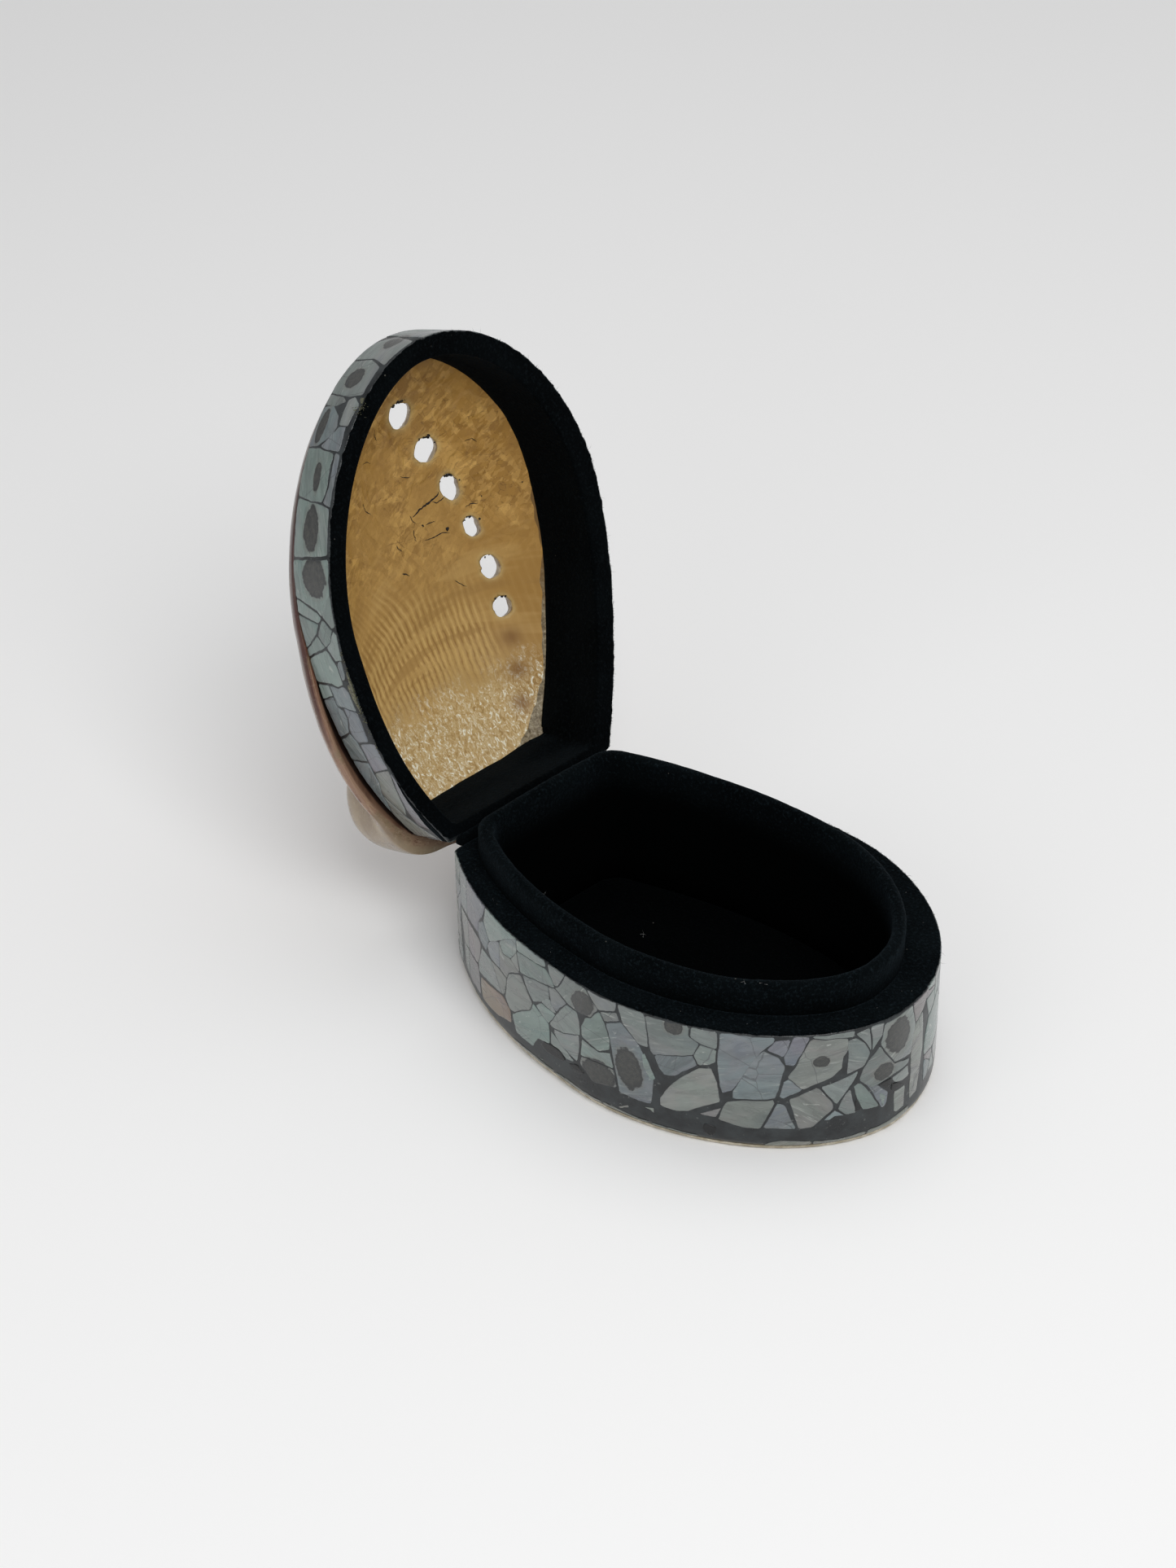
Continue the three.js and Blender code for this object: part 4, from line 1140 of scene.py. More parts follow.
def lining():
    """Velvet over the lid's rim and up its inner wall, thicker above the collar where the photo shows it."""
    inner = fitted(LINING_FIT, plan(ROUND_ANGLES, LINING_OPENING))
    thicker = np.interp(
        ROUND, [0, 6, 14, 45, 72, 108, 122, 145, 196, 208, 216, 222, 230, 257],
        [0.5, 0.1, 0.0, 0.2, 1.25, 1.4, 0.7, 0.1, 0.1, 0.5, 1.2, 1.2, 0.3, 0.4],
    )
    x, y = OUTER.at(ROUND)
    ax, ay = OUTER.at(ROUND, 1.0)
    inwards = np.c_[ax - x, ay - y]
    back = fitted(LINING_FIT, plan(ROUND_ANGLES, LINING_BACK))
    rows = []
    for inset, h in ((1.3, 0.8), (0.5, 0.34), (0.2, 0.26), (0.3, 0.14), (0.6, 0.08)):
        rows.append(lifted(clear_of_hinge(frayed(inset, 0.14), h), h))
    outer = rows[-1][:, :2]
    outwards = (outer - inner) / np.hypot(*(outer - inner).T)[:, None]
    for share in (0.15, 0.35, 0.6, 0.8):
        loop = outer + (inner + outwards * 0.5 - outer) * share
        rows.append(lifted(loop, 0.08 + 0.04 * pad_wave(loop[:, 0], loop[:, 1], 9.0)))
    for k in range(5):
        turn = k / 4 * np.pi / 2
        rows.append(lifted(inner + outwards * 0.5 * (1 - math.sin(turn)), 0.08 + 0.5 * (1 - math.cos(turn))))
    top = inner_height(inner[:, 0], inner[:, 1]) + 0.25
    for share in (0.08, 0.2, 0.35, 0.5, 0.65, 0.8, 0.92, 1.0):
        wave = 0.1 * pad_wave(inner[:, 0], inner[:, 1], share * 20)
        height = 0.6 + (top - 0.6) * share
        fuller = thicker * smooth(height, 8.2, 10.0)
        rows.append(lifted(inner + outwards * wave[:, None] + inwards * fuller[:, None], height))
    rows.append(lifted(back, inner_height(back[:, 0], back[:, 1]) - 0.1))
    rows.append(lifted(back, 0.8))
    return ring_piece("velvet_lid_lining", rows, "lid", LINING_VELVET, "lid_velvet", turned=True)


def hinge_strip():
    """The folded velvet along the hinge, its ends pinched in."""
    near, far = -21.3, 17.3
    rows, count = [], 20
    turns = np.linspace(0, 2 * np.pi, count, endpoint=False)
    for y in np.linspace(near, far, 60):
        ends = min(1.0, 0.25 + min(y - near, far - y) / 1.2)
        radius = ends * (1.08 + 0.06 * fray(np.cos(turns), y, np.sin(turns)))
        x, z = -LENGTH / 2 + radius * np.cos(turns), HINGE_Z + radius * np.sin(turns)
        rows.append(np.c_[x, np.full(count, y), z])
    points = np.vstack(rows + [[(-LENGTH / 2, near - 0.1, HINGE_Z)], [(-LENGTH / 2, far + 0.1, HINGE_Z)]])
    last, cap = (len(rows) - 1) * count, len(rows) * count
    faces = grid_faces(len(rows), count, close=False) + fan(0, count, cap, True) + fan(last, count, cap + 1)
    return make("velvet_hinge", points, faces, "base", [LINING_VELVET], replaces=["hinge_velvet"])


ledge()
collar()
floor_pad()
lining()
hinge_strip()


# Abalone shell

HOLE_SIZES = ((5.3, 4.9), (5.1, 4.6), (5.5, 3.7), (4.1, 3.2), (4.7, 3.5), (4.3, 3.2))
HOLES = []
for k in range(6):
    turn = math.radians(20.5 + k * (6.6 + k * 0.2))
    radius = 92.0 * math.exp(-0.78 * turn)
    heading = turn + math.pi / 2 + math.atan(0.78)
    HOLES.append((8.0 + radius * math.cos(turn), -18.0 + radius * math.sin(turn), heading, *HOLE_SIZES[k]))
CLOSED_HOLES = ((23.6, 16.8, 1.5), (17.3, 15.6, 1.5), (11.1, 13.8, 1.4), (5.0, 10.6, 1.2))
CORDS_PER_TURN = 62
CORD_PITCH = 1.35
STRIP_LINE = (
    [2, 3.6, 6.5, 10, 15, 20, 30, 40, 50, 60, 70],
    [6.5, 8.0, 12.8, 16.2, 19.1, 21.2, 24.5, 26.9, 27.8, 29.5, 33.0],
)
SHRINK = 0.7
FLARED = 1.35
hole_edge = field(51, 2.2)


def spiral_place(u, y):
    """Label of the cord, label of the growth line and distance from the nucleus."""
    du, dy = u - NUCLEUS[0], y - NUCLEUS[1]
    cut = math.radians(-135)
    turn = np.mod(np.arctan2(dy, du) - cut, 2 * np.pi) + cut
    radius = np.maximum(np.hypot(du, dy), 0.5)
    cord = (np.log(radius) + SHRINK * turn) / (2 * np.pi * SHRINK / CORDS_PER_TURN)
    return cord, np.log(radius) - 1.04 * turn, radius


def inside_cord(u, y):
    """Label of the cord on the inner face: straight lines along u that bend down past the middle."""
    return (y + 0.02 * np.clip(u - 26, 0, None) ** 2 * smooth(-y, -4, 8)) / CORD_PITCH


def hole_level(u, y, hole):
    """0 at a hole's middle and 1 on its ragged edge."""
    hu, hy, heading, length, width = hole
    c, s = math.cos(heading), math.sin(heading)
    along, across = (u - hu) * c + (y - hy) * s, (y - hy) * c - (u - hu) * s
    turn = np.arctan2(across, along)
    ragged = 1 + 0.07 * hole_edge(np.cos(turn) * 2, np.sin(turn) * 2, hu)
    return np.hypot(2 * along / length, 2 * across / width) / ragged


def grid_normals(grid):
    """Normals of a grid of loops; the columns close up."""
    along = np.roll(grid, -1, 1) - np.roll(grid, 1, 1)
    across = np.gradient(grid, axis=0)
    normal = np.cross(along, across)
    return normal / np.maximum(np.linalg.norm(normal, axis=2, keepdims=True), 1e-9)


def spire_level(p):
    """0 at the middle of the spire's rounded lobe and 1 on its surface."""
    across = ((p[..., 0] + LENGTH / 2 - SPIRE["u"]) / SPIRE["ru"]) ** 2
    across = across + ((p[..., 1] - SPIRE["y"]) / SPIRE["ry"]) ** 2
    return across**2 + ((p[..., 2] - SPIRE["h"]) / SPIRE["rh"]) ** 4


def with_spire(grid):
    """The outer face swollen to take in the lobe, and how far each point lies on it."""
    centre = np.array([0.0, 0.0, SEAT])
    away = grid - centre
    reach = np.linalg.norm(away, axis=2)
    direction = away / np.maximum(reach, 1e-6)[..., None]
    steps = np.arange(0.5, 80.5, 0.5)
    far = np.zeros(reach.shape)
    for t in steps:
        far = np.where(spire_level(centre + direction * t) < 1, t, far)
    low, high = far.copy(), far + 0.5
    for _ in range(12):
        middle = (low + high) / 2
        inside = spire_level(centre + direction * middle[..., None]) < 1
        low, high = np.where(inside, middle, low), np.where(inside, high, middle)
    ratio = np.where(far > 0, low / np.maximum(reach, 1e-6), 0)
    scale = np.where(ratio > 0.5, (1 + np.maximum(ratio, 1e-3) ** 60) ** (1 / 60), 1.0)
    return centre + away * scale[..., None], smooth(ratio, 0.94, 1.03)


_rng = np.random.RandomState(5)
FLAKES = np.c_[_rng.uniform(20, 92, 420), _rng.uniform(-34, 34, 420)]
FLAKE_TILTS = _rng.normal(size=(420, 3)) * (0.045, 0.045, 0.05)


def inner_lift(u, y):
    """How far the shell's inside stands proud of its smooth dome: faint cords, growth steps and flakes."""
    _, growth, ring = spiral_place(u, y)
    lift = 0.03 * np.cos(2 * np.pi * inside_cord(u, y)) * (1 - smooth(u, 36, 54)) * smooth(ring, 7, 16)
    lift = lift + 0.10 * np.sin(growth * 9.0) * (1 - smooth(u, 50, 70)) * smooth(ring, 4, 12)
    flat = np.c_[np.ravel(u), np.ravel(y) * 1.5]
    nearest = np.zeros(len(flat), int)
    best = np.full(len(flat), 1e9)
    for k, (a, b) in enumerate(FLAKES):
        gap = np.abs(flat[:, 0] - a) + np.abs(flat[:, 1] - b * 1.5)
        closer = gap < best
        nearest[closer], best[closer] = k, gap[closer]
    step = flat / (1, 1.5) - FLAKES[nearest]
    facet = np.clip((step * FLAKE_TILTS[nearest, :2]).sum(1) + FLAKE_TILTS[nearest, 2], -0.12, 0.12)
    lift = lift + facet.reshape(np.shape(u)) * smooth(u, 40, 55) * smooth(ring, 10, 20)
    x = u - LENGTH / 2
    share = np.hypot(x, y) / (np.interp(np.arctan2(y, x), _turns, _radii) - EDGE_WIDTH)
    return lift * (1 - smooth(share, 0.93, 0.985))


def smooth_faces(radius, c, s):
    """The inner face from the middle out and the outer face from the rim in, as grids of loops."""
    count = len(radius)
    edge = radius - EDGE_WIDTH
    inner = np.stack([
        np.c_[edge * c * k, edge * s * k, np.full(count, SEAT + dome(k))]
        for k in np.r_[0.012, np.linspace(0.03, 1.0, 84) ** 0.92]
    ])
    inner[..., 2] -= inner_lift(inner[..., 0] + LENGTH / 2, inner[..., 1])
    rim = [(1.0, 0.02), (1.0, 0.6), (0.997, 1.15)]
    rest = [(k, EDGE_THICKNESS + dome(k)) for k in np.linspace(1.0, 0.03, 74)[1:]]
    outer = np.stack([np.c_[radius * c * k, radius * s * k, np.full(count, SEAT + h)] for k, h in rim + rest])
    return inner, outer


def outer_relief(outer, lobe):
    """How far the outside stands proud: cords, growth steps, closed holes, hole rims, and the lobe's coil."""
    u, y = outer[..., 0] + LENGTH / 2, outer[..., 1]
    cord, growth, ring = spiral_place(u, y)
    relief = 0.10 * np.cos(2 * np.pi * cord / 3.5) * smooth(ring, 14, 26) * (1 - lobe)
    relief += 0.16 * np.sin(growth * 14.0 + 0.6 * pad_wave(u, y)) * smooth(ring, 12, 22) * (1 - lobe)
    relief += 0.06 * field(61, 7.0)(u, y, outer[..., 2])
    for hu, hy, size in CLOSED_HOLES:
        relief += 0.45 * size * np.exp(-((np.hypot(u - hu, y - hy) / (1.2 * size)) ** 2))
    for hole in HOLES:
        level = hole_level(u, y, hole) / FLARED
        relief += 0.5 * np.exp(-(((level - 1.15) / 0.3) ** 2)) * (level < 3)
    du, dy = u - (SPIRE["u"] + 1.5), y - (SPIRE["y"] + 1.5)
    away = np.hypot(du, dy)
    whorl = np.mod(np.log(np.maximum(away, 0.3)) / 0.62 + np.arctan2(dy, du) / (2 * np.pi), 1.0)
    suture = np.exp(-(((whorl - 0.5) / 0.07) ** 2))
    relief -= 0.55 * suture * lobe * smooth(away, 0.8, 2.2) * (1 - smooth(away, 8, 10))
    return relief * smooth(np.arange(len(outer)), 2, 6)[:, None]


def opened(quads, points, size):
    """The quads that are left when the holes, at this size, are taken out."""
    centre = points[quads].mean(1)
    keep = np.ones(len(quads), bool)
    for hole in HOLES:
        keep &= hole_level(centre[:, 0] + LENGTH / 2, centre[:, 1], hole) > size
    return quads[keep]


def hole_border(points, quads, hole, size):
    """The loop of vertices round an opened hole. It also moves them onto the hole's edge."""

    def level(which):
        return hole_level(points[which, 0] + LENGTH / 2, points[which, 1], hole)

    near = quads[level(quads[:, 0]) < 3]
    edges = dict.fromkeys((quad[k], quad[(k + 1) % 4]) for quad in near.tolist() for k in range(4))
    border = {a: b for a, b in edges if (b, a) not in edges and level(a) < 1.75}
    loop = [next(iter(border))]
    while border[loop[-1]] != loop[0]:
        loop.append(border[loop[-1]])
    middle = np.array([hole[0] - LENGTH / 2, hole[1]])
    points[loop, :2] = middle + (points[loop, :2] - middle) * size / level(loop)[:, None]
    return loop


def hole_wall(points, inner_loop, outer_loop):
    """Triangles between a hole's two borders, which run opposite ways round."""
    outer_loop = outer_loop[::-1]
    corners = (points[loop, :2] for loop in (inner_loop, outer_loop))
    turn_in, turn_out = (np.arctan2(*(p - p.mean(0)).T[::-1]) for p in corners)
    offset = int(np.argmin(np.abs(np.angle(np.exp(1j * (turn_out - turn_in[0]))))))
    a, b = inner_loop, outer_loop[offset:] + outer_loop[:offset]
    faces, i, j = [], 0, 0
    while i < len(a) or j < len(b):
        if j >= len(b) or (i < len(a) and (i + 1) / len(a) <= (j + 1) / len(b)):
            faces.append([a[(i + 1) % len(a)], a[i], b[j % len(b)]])
            i += 1
        else:
            faces.append([a[i % len(a)], b[j], b[(j + 1) % len(b)]])
            j += 1
    return faces


def shell():
    angles = np.arctan2(*OUTER.at(np.linspace(0, OUTER.total, 620, endpoint=False))[::-1])
    radius = shell_radius(angles)
    count = len(angles)
    inner, outer = smooth_faces(radius, np.cos(angles), np.sin(angles))
    outer, lobe = with_spire(outer)
    normal = grid_normals(outer)
    if normal[len(outer) // 2, :, 2].mean() < 0:
        normal = -normal
    outer = outer + normal * outer_relief(outer, lobe)[..., None]
    rows_in, rows_out = len(inner), len(outer)
    last, top = (rows_in + rows_out - 1) * count, (rows_in + rows_out) * count
    tips = [(0, 0, inner[0, :, 2].mean()), (0, 0, outer[-1, :, 2].mean())]
    points = np.vstack([inner.reshape(-1, 3), outer.reshape(-1, 3), tips])

    inner_quads = opened(np.array(grid_faces(rows_in, count, close=False)), points, 1.0)
    outer_quads = opened(np.array(grid_faces(rows_out, count, rows_in * count, close=False)), points, FLARED)
    walls = []
    for hole in HOLES:
        border = hole_border(points, inner_quads, hole, 1.0)
        walls += hole_wall(points, border, hole_border(points, outer_quads, hole, FLARED))
    groups = (
        (2, walls), (0, inner_quads.tolist()), (1, grid_faces(2, count, (rows_in - 1) * count, close=False)),
        (1, outer_quads.tolist()), (0, fan(0, count, top, True)), (1, fan(last, count, top + 1)),
    )
    kinds = [kind for kind, group in groups for _ in group]
    faces = [face for _, group in groups for face in group]

    # what the materials go by
    u, y = points[:, 0] + LENGTH / 2, points[:, 1]
    cord, growth, ring = spiral_place(u, y)
    cord[:rows_in * count] = inside_cord(u, y)[:rows_in * count]
    halo = np.max([np.exp(-(((hole_level(u, y, hole) - 1.0) / 0.28) ** 2)) for hole in HOLES], 0)
    stain = np.max([
        np.exp(-((np.hypot(u - hu, y - hy) / (1.25 * size)) ** 2)) for hu, hy, size in CLOSED_HOLES[:3]
    ], 0)
    strip = smooth(y - np.interp(u, *STRIP_LINE) + 0.3 * field(62, 5.0)(u, y), -0.4, 0.4)
    beyond = np.clip(((points[:, :2] @ NORMALS.T - DISTANCES).max(1) + 1.5) / 4.5, 0, 1)
    lobes, seam = np.zeros((2, len(points)))
    lobes[rows_in * count:top] = lobe.ravel()
    along_rim = 0.15 + 0.85 * smooth(np.cos(angles) * radius, -38, -8)
    for row, value in enumerate((0.8, 0.7, 0.55, 0.4, 0.3, 0.2, 0.1), rows_in):
        seam[row * count:(row + 1) * count] = along_rim * value
    attributes = {
        "lid": np.c_[u, y, points[:, 2]], "spiral": np.c_[cord, growth, ring], "halo": halo, "stain": stain,
        "strip": strip, "lobe": lobes, "seam": seam, "beyond": beyond,
    }
    used = np.unique(np.concatenate([np.asarray(face) for face in faces]))
    renumber = np.full(len(points), -1)
    renumber[used] = np.arange(len(used))
    faces = [renumber[face].tolist() for face in faces]
    return make(
        "abalone_shell", points[used], faces, "lid", [INSIDE, OUTSIDE, SHELL_EDGE], kinds,
        {name: values[used] for name, values in attributes.items()}, ["lid_shell"],
    )


shell()


# Small debris, cracks and stray fibres


def spikes(name, roots, directions, lengths, widths, body, look, seed, curl=0.3, held=True):
    """Closed three-sided fibres that taper to a point. Held ones keep out of the other half's way."""
    rng = np.random.RandomState(seed)
    points, faces = [], []
    for root, direction, length, width in zip(roots, directions, lengths, widths):
        direction = direction / np.linalg.norm(direction)
        side = np.cross(direction, rng.normal(size=3))
        side /= np.linalg.norm(side)
        other = np.cross(direction, side)
        bow = (side * rng.normal() + other * rng.normal()) * curl * length
        start = len(points)
        for at, size, shift in ((0.0, 1.0, 0.0), (0.5, 0.8, 0.35)):
            for k in range(3):
                turn = 2 * math.pi * k / 3
                ring = (side * math.cos(turn) + other * math.sin(turn)) * width * size / 2
                points.append(root + direction * length * at + ring + bow * shift)
        points.append(root + direction * length + bow)
        for k in range(3):
            n = (k + 1) % 3
            faces.append([start + k, start + n, start + 3 + n, start + 3 + k])
            faces.append([start + 3 + k, start + 3 + n, start + 6])
        faces.append([start + 2, start + 1, start])
    placed = np.array(points)
    if body == "lid":
        placed[:, 2] = np.maximum(placed[:, 2], FIBRE_LOW)
    elif held:
        placed[:, 2] = np.minimum(placed[:, 2], FIBRE_TOP)
    return make(name, placed, faces, body, [look])


def edge_fuzz(name, body, height, inset, count, seed, down):
    """Short fibres that stand out along a cut edge of velvet, a few of them long."""
    rng = np.random.RandomState(seed)
    s = rng.uniform(0, OUTER.total, count)
    x, y = OUTER.at(s, inset + rng.uniform(-0.1, 0.25, count))
    ax, ay = OUTER.at(s, inset - 1.0)
    free = x > -LENGTH / 2 + 1.5
    roots = np.c_[x, y, np.full(count, height) + rng.uniform(-0.06, 0.06, count)][free]
    outwards = np.c_[ax - x, ay - y, rng.normal(0, 0.5, count) + down][free]
    outwards += rng.normal(0, 0.6, outwards.shape)
    lengths = rng.uniform(0.18, 0.5, count)[free]
    stray = rng.uniform(size=free.sum()) < 0.015
    lengths[stray] *= 3
    widths = np.full(len(roots), 0.045)
    return spikes(name, roots, outwards, lengths, widths, body, VELVET, seed + 1)


edge_fuzz("ledge_fibres", "base", 26.95, 0.3, 3600, 81, -0.1)
edge_fuzz("lid_rim_fibres", "lid", 0.2, 0.3, 3600, 83, 0.1)


def shell_point(u, y, above):
    """A point over the shell's inside, in the lid's frame."""
    h = inner_height(u - LENGTH / 2, y) - inner_lift(np.asarray(u, float), np.asarray(y, float)) - above
    return np.c_[u - LENGTH / 2, y, h]


def cracks():
    """Thin dark slivers that stand for the open cracks and flaked edges inside the shell: painted shade in
    their gaps.
    """
    rng = np.random.RandomState(91)
    lines = [
        (0.42, [(55.3, 12.3), (54.8, 12.1), (54.2, 10.6), (53.8, 9.2), (53.4, 7.6), (52.6, 5.8)]),
        (0.25, [(54.0, 13.4), (53.6, 12.6), (53.3, 11.4), (53.9, 10.7)]),
        (0.22, [(46.8, 12.4), (47.4, 11.0), (47.1, 9.2), (47.3, 7.2)]),
        (0.26, [(49.9, 10.3), (50.2, 9.0), (50.0, 8.2)]),
        (0.28, [(50.0, 7.8), (50.5, 7.2)]),
        (0.2, [(47.9, 5.3), (49.2, 5.2), (50.2, 5.5)]),
        (0.18, [(51.3, 6.2), (52.0, 5.5), (53.2, 5.4)]),
        (0.24, [(42.3, 1.8), (42.9, 0.9), (43.2, 0.3)]),
        (0.2, [(47.3, 1.7), (47.9, 1.1), (48.8, 0.9)]),
        (0.18, [(60.3, 7.0), (60.7, 6.0), (61.2, 5.1)]),
        (0.18, [(56.9, -3.4), (58.0, -4.4), (59.6, -4.7)]),
        (0.16, [(66.4, -1.2), (67.2, -2.2), (67.0, -3.4)]),
        (0.18, [(50.4, 19.0), (50.8, 17.8), (50.4, 16.6)]),
        (0.16, [(35.8, 12.4), (36.8, 11.2), (37.8, 10.5)]),
        (0.16, [(62.3, 20.9), (63.4, 19.9), (63.2, 18.8)]),
        (0.15, [(70.2, 0.8), (71.4, 0.2), (72.6, 0.4)]),
    ]
    points, faces = [], []
    for width, line in lines:
        line = np.array(line)
        length = np.r_[0, np.cumsum(np.hypot(*np.diff(line, axis=0).T))]
        at = np.linspace(0, length[-1], max(5, int(length[-1] / 0.3)))
        path = np.c_[np.interp(at, length, line[:, 0]), np.interp(at, length, line[:, 1])]
        path += rng.normal(0, 0.05, path.shape)
        along = np.gradient(path, axis=0)
        side = np.c_[-along[:, 1], along[:, 0]] / np.hypot(*along.T)[:, None]
        taper = np.sin(np.linspace(0.12, np.pi - 0.12, len(at))) ** 0.6
        half = (side.T * width / 2 * taper * rng.uniform(0.6, 1.2, len(at))).T
        start = len(points)
        rows = [
            shell_point(*(path - half).T, 0.03), shell_point(*path.T, 0.07),
            shell_point(*(path + half).T, 0.03), shell_point(*path.T, -0.12),
        ]
        points += np.stack(rows, 1).reshape(-1, 3).tolist()
        for k in range(len(at) - 1):
            for j in range(4):
                a, b = start + 4 * k + j, start + 4 * k + (j + 1) % 4
                faces.append([a, b, b + 4, a + 4])
        last = start + 4 * (len(at) - 1)
        faces += [[start + 3, start + 2, start + 1, start], [last, last + 1, last + 2, last + 3]]
    make("shell_cracks_painted_shade", points, faces, "lid", [CRUMB_AND_SHADE])


def lumps(name, places, body, look, seed):
    """Small closed crumbs: each place is x, y, z, size, flatness."""
    rng = np.random.RandomState(seed)
    points, faces = [], []
    for x, y, z, size, flat in places:
        start = len(points)
        bump = rng.uniform(0.65, 1.25, (3, 7))
        points.append((x, y, z + size / 2 * flat))
        for j in range(3):
            tilt = (j + 1) / 4 * math.pi
            for k in range(7):
                turn = 2 * math.pi * k / 7
                r = size / 2 * bump[j, k]
                points.append((
                    x + r * math.sin(tilt) * math.cos(turn), y + r * math.sin(tilt) * math.sin(turn),
                    z + r * math.cos(tilt) * flat,
                ))
        points.append((x, y, z - size / 2 * flat))
        for k in range(7):
            n = (k + 1) % 7
            faces.append([start, start + 1 + k, start + 1 + n])
            for j in range(2):
                a, b = start + 1 + 7 * j + k, start + 1 + 7 * j + n
                faces.append([a, a + 7, b + 7, b])
            faces.append([start + 15 + n, start + 15 + k, start + 22])
    return make(name, points, faces, body, [look])


def hole_rim_lumps():
    """Black lumps on the rims of the holes, on the side towards the tip, and dark spots at pits in the shell.
    """
    rng = np.random.RandomState(95)
    places = []
    amounts = (26, 12, 18, 9, 2, 6)
    for (hu, hy, heading, length, width), amount in zip(HOLES, amounts):
        for _ in range(amount):
            turn = rng.normal(0.15, 0.42)
            reach = 0.5 * (length * width) ** 0.5 * rng.uniform(0.93, 1.1)
            u, y = hu + reach * math.cos(turn) * 1.05, hy + reach * math.sin(turn)
            x, y, h = shell_point(np.array([u]), np.array([y]), rng.uniform(-0.5, 0.05))[0]
            places.append((x, y, h, rng.uniform(0.3, 0.75), 0.6))
    pits = ((47.7, 12.3, 0.9), (50.1, 7.6, 0.4), (51.5, 19.9, 0.4), (51.8, 27.0, 0.4), (42.9, 0.8, 0.3))
    for u, y, size in pits:
        x, y, h = shell_point(np.array([u]), np.array([y]), 0.0)[0]
        places.append((x, y, h, size, 0.3))
    lumps("hole_rim_dark_lumps", places, "lid", CRUMB_AND_SHADE, 96)


def lint():
    """Specks and fibres on the velvet, and the dried glue along the lid's edge."""
    rng = np.random.RandomState(97)
    places, roots, ways = [], [], []
    for x, y, z in ((26.5, -17.4, 33.7), (28.6, -15.6, 33.7), (-22.6, -20.3, 27.1), (4.5, -21.3, 33.7)):
        for _ in range(2):
            spot = (x + rng.normal(0, 0.4), y + rng.normal(0, 0.4), z + rng.uniform(0, 0.05))
            places.append((*spot, rng.uniform(0.1, 0.2), 0.6))
            roots.append(np.array(spot))
            ways.append(np.array([rng.normal(), rng.normal(), 0.25]))
    for _ in range(26):
        turn = rng.uniform(0, 2 * np.pi)
        x, y = plan(np.array([turn]), rng.uniform(1.5, 4.0))[0]
        places.append((x, y, 27.04, rng.uniform(0.08, 0.14), 0.4))
    lumps("lint_specks", places, "base", LINT, 98)
    lengths, widths = rng.uniform(0.4, 1.1, len(roots)), np.full(len(roots), 0.05)
    spikes("lint_fibres", roots, ways, lengths, widths, "base", LINT, 99, 0.5, False)
    # the pale tuft and the frayed glue where the lid's velvet meets the mosaic
    tuft, ways = [], []
    for _ in range(26):
        tuft.append(np.array([37.9 + rng.normal(0, 0.6), -14.2 + rng.normal(0, 0.8), 0.1]))
        ways.append(np.array([rng.normal(0.3, 0.6), rng.normal(-0.6, 0.6), -rng.uniform(0.1, 0.5)]))
    s = rng.uniform(24, 46, 60)
    x, y = OUTER.at(s, rng.uniform(-0.05, 0.3, 60))
    for a, b in zip(x, y):
        tuft.append(np.array([a, b, rng.uniform(0.0, 0.7)]))
        ways.append(np.array([rng.normal(0, 0.5), -0.8, rng.normal(0, 0.7)]))
    lengths, widths = rng.uniform(0.3, 0.8, len(tuft)), rng.uniform(0.08, 0.2, len(tuft))
    spikes("lid_edge_glue", tuft, ways, lengths, widths, "lid", GLUE, 100, 0.4)


cracks()
hole_rim_lumps()
lint()


# Stage, light and camera


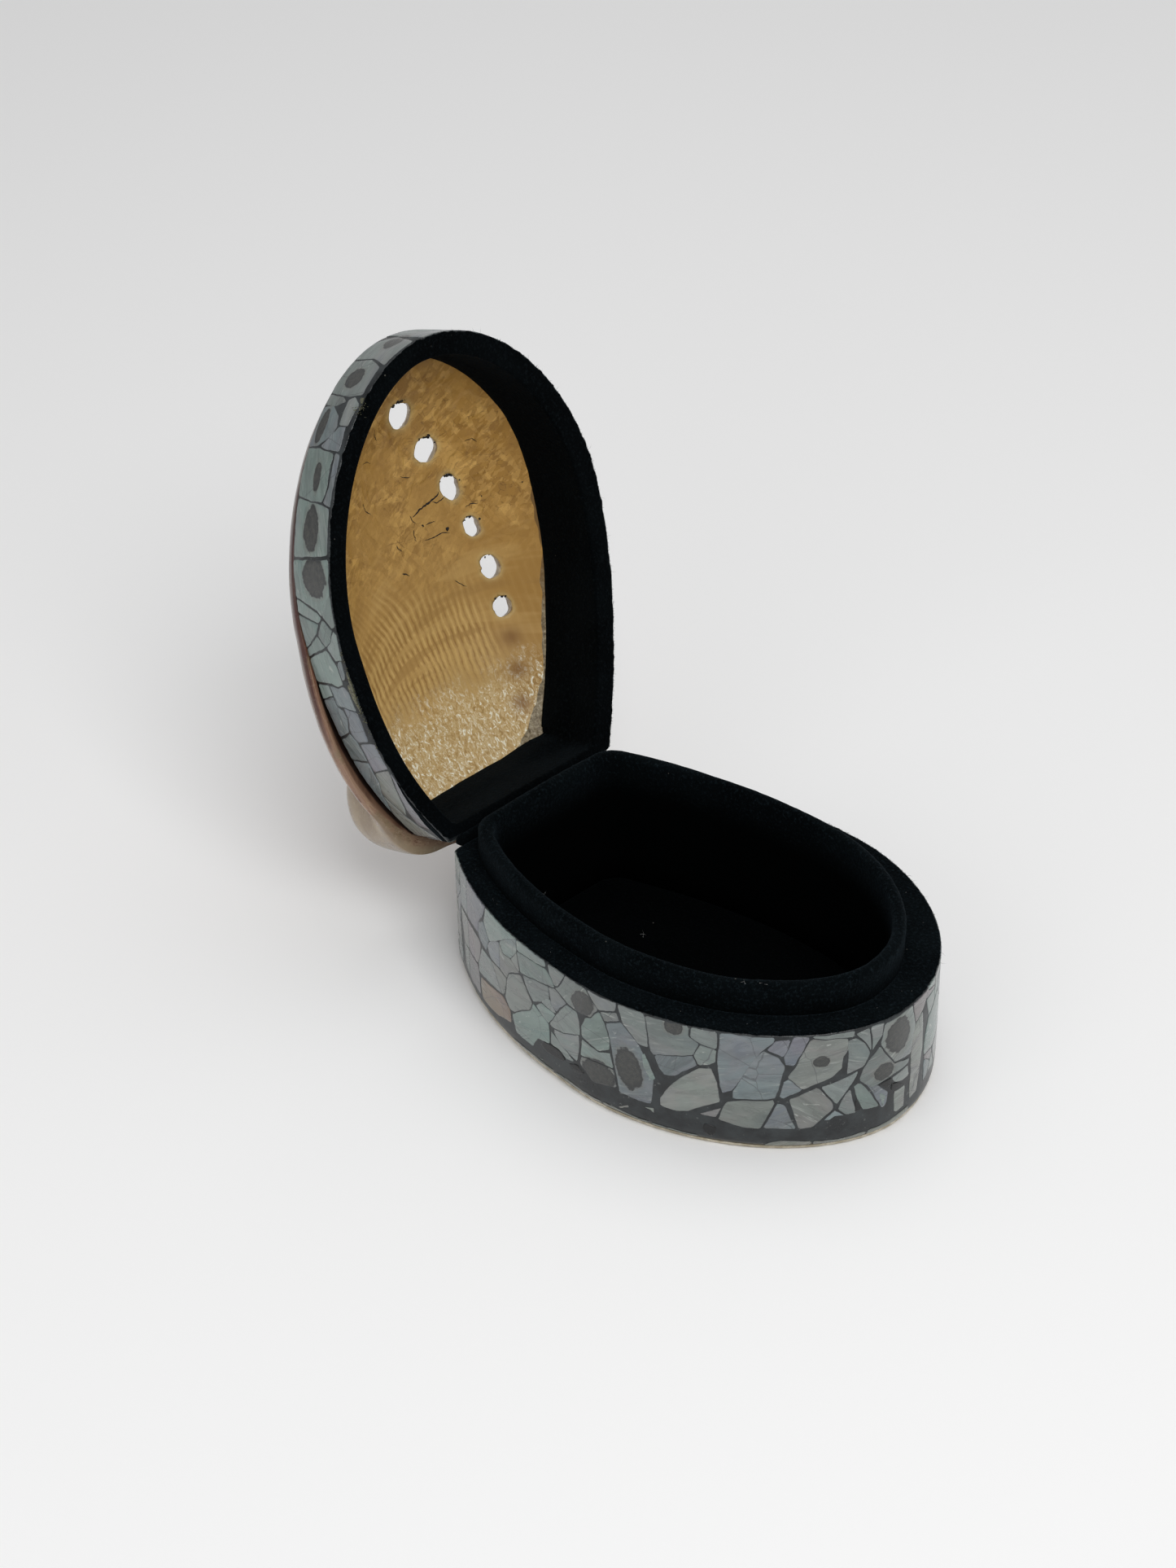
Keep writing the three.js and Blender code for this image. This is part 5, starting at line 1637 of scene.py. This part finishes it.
def stage():
    mesh = bpy.data.meshes.new("floor")
    half = 2.5  # metres
    corners = [(-half, -half, 0), (half, -half, 0), (half, half, 0), (-half, half, 0)]
    mesh.from_pydata(corners, [], [(0, 1, 2, 3)])
    look = Look("pale_floor")
    look.set(Base_Color=(0.93, 0.93, 0.93, 1.0), Roughness=0.9, Specular_IOR_Level=0.1)
    mesh.materials.append(look.material)
    floor = bpy.data.objects.new("floor", mesh)
    floor.location.z = -0.00005
    link(floor)


def stand(thing, place, right, up, back):
    """Puts a lamp or the camera at a place with its own axes along these."""
    turn = Matrix([(*row, 0) for row in np.c_[right, up, back]] + [(0, 0, 0, 1)])
    thing.matrix_world = Matrix.Translation(place) @ turn
    link(thing)


def area_light(name, place, target, size, power, colour=(1, 1, 1)):
    data = bpy.data.lights.new(name, "AREA")
    data.shape = "RECTANGLE"
    data.size, data.size_y = size
    data.energy = power
    data.color = colour
    lamp = bpy.data.objects.new(name, data)
    place, target = np.array(place, float), np.array(target, float)
    back = place - target
    back /= np.linalg.norm(back)
    right = np.cross((0, 0, 1), back)
    right /= np.linalg.norm(right)
    stand(lamp, place, right, np.cross(back, right), back)


def light():
    world = bpy.data.worlds.new("studio")
    world.use_nodes = True
    background = world.node_tree.nodes["Background"]
    background.inputs["Color"].default_value = (1.0, 1.0, 1.0, 1.0)
    background.inputs["Strength"].default_value = 0.42
    bpy.context.scene.world = world
    area_light("key", (0.5, -0.22, 0.78), (0, 0, 0.04), (0.5, 0.5), 3.9)
    area_light("fill", (0.1, -0.7, 0.45), (0, 0, 0.04), (0.6, 0.4), 0.7)
    area_light("top", (-0.1, 0.3, 0.9), (0, 0, 0.04), (0.8, 0.8), 1.6)


def camera():
    data = bpy.data.cameras.new("camera")
    data.lens, data.sensor_width = 80.0, 36.0
    data.clip_start, data.clip_end = 0.01, 20.0
    eye = bpy.data.objects.new("camera", data)
    right = (0.6881076, 0.7254783, -0.0137529)
    up = (-0.4255212, 0.4188092, 0.8022036)
    back = (0.5877411, -0.5461502, 0.5968922)
    stand(eye, (0.34661, -0.35173, 0.42095), right, up, back)
    bpy.context.scene.camera = eye


stage()
light()
camera()
scene = bpy.context.scene
scene.view_settings.view_transform = "Standard"
scene.view_settings.look = "None"

LOOKS = {"base_plate": LAMINATE, "base_body": BOARD, "lid_frame": BOARD}
for name, look in LOOKS.items():
    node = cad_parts[name]
    node.data.materials.clear()
    node.data.materials.append(look)
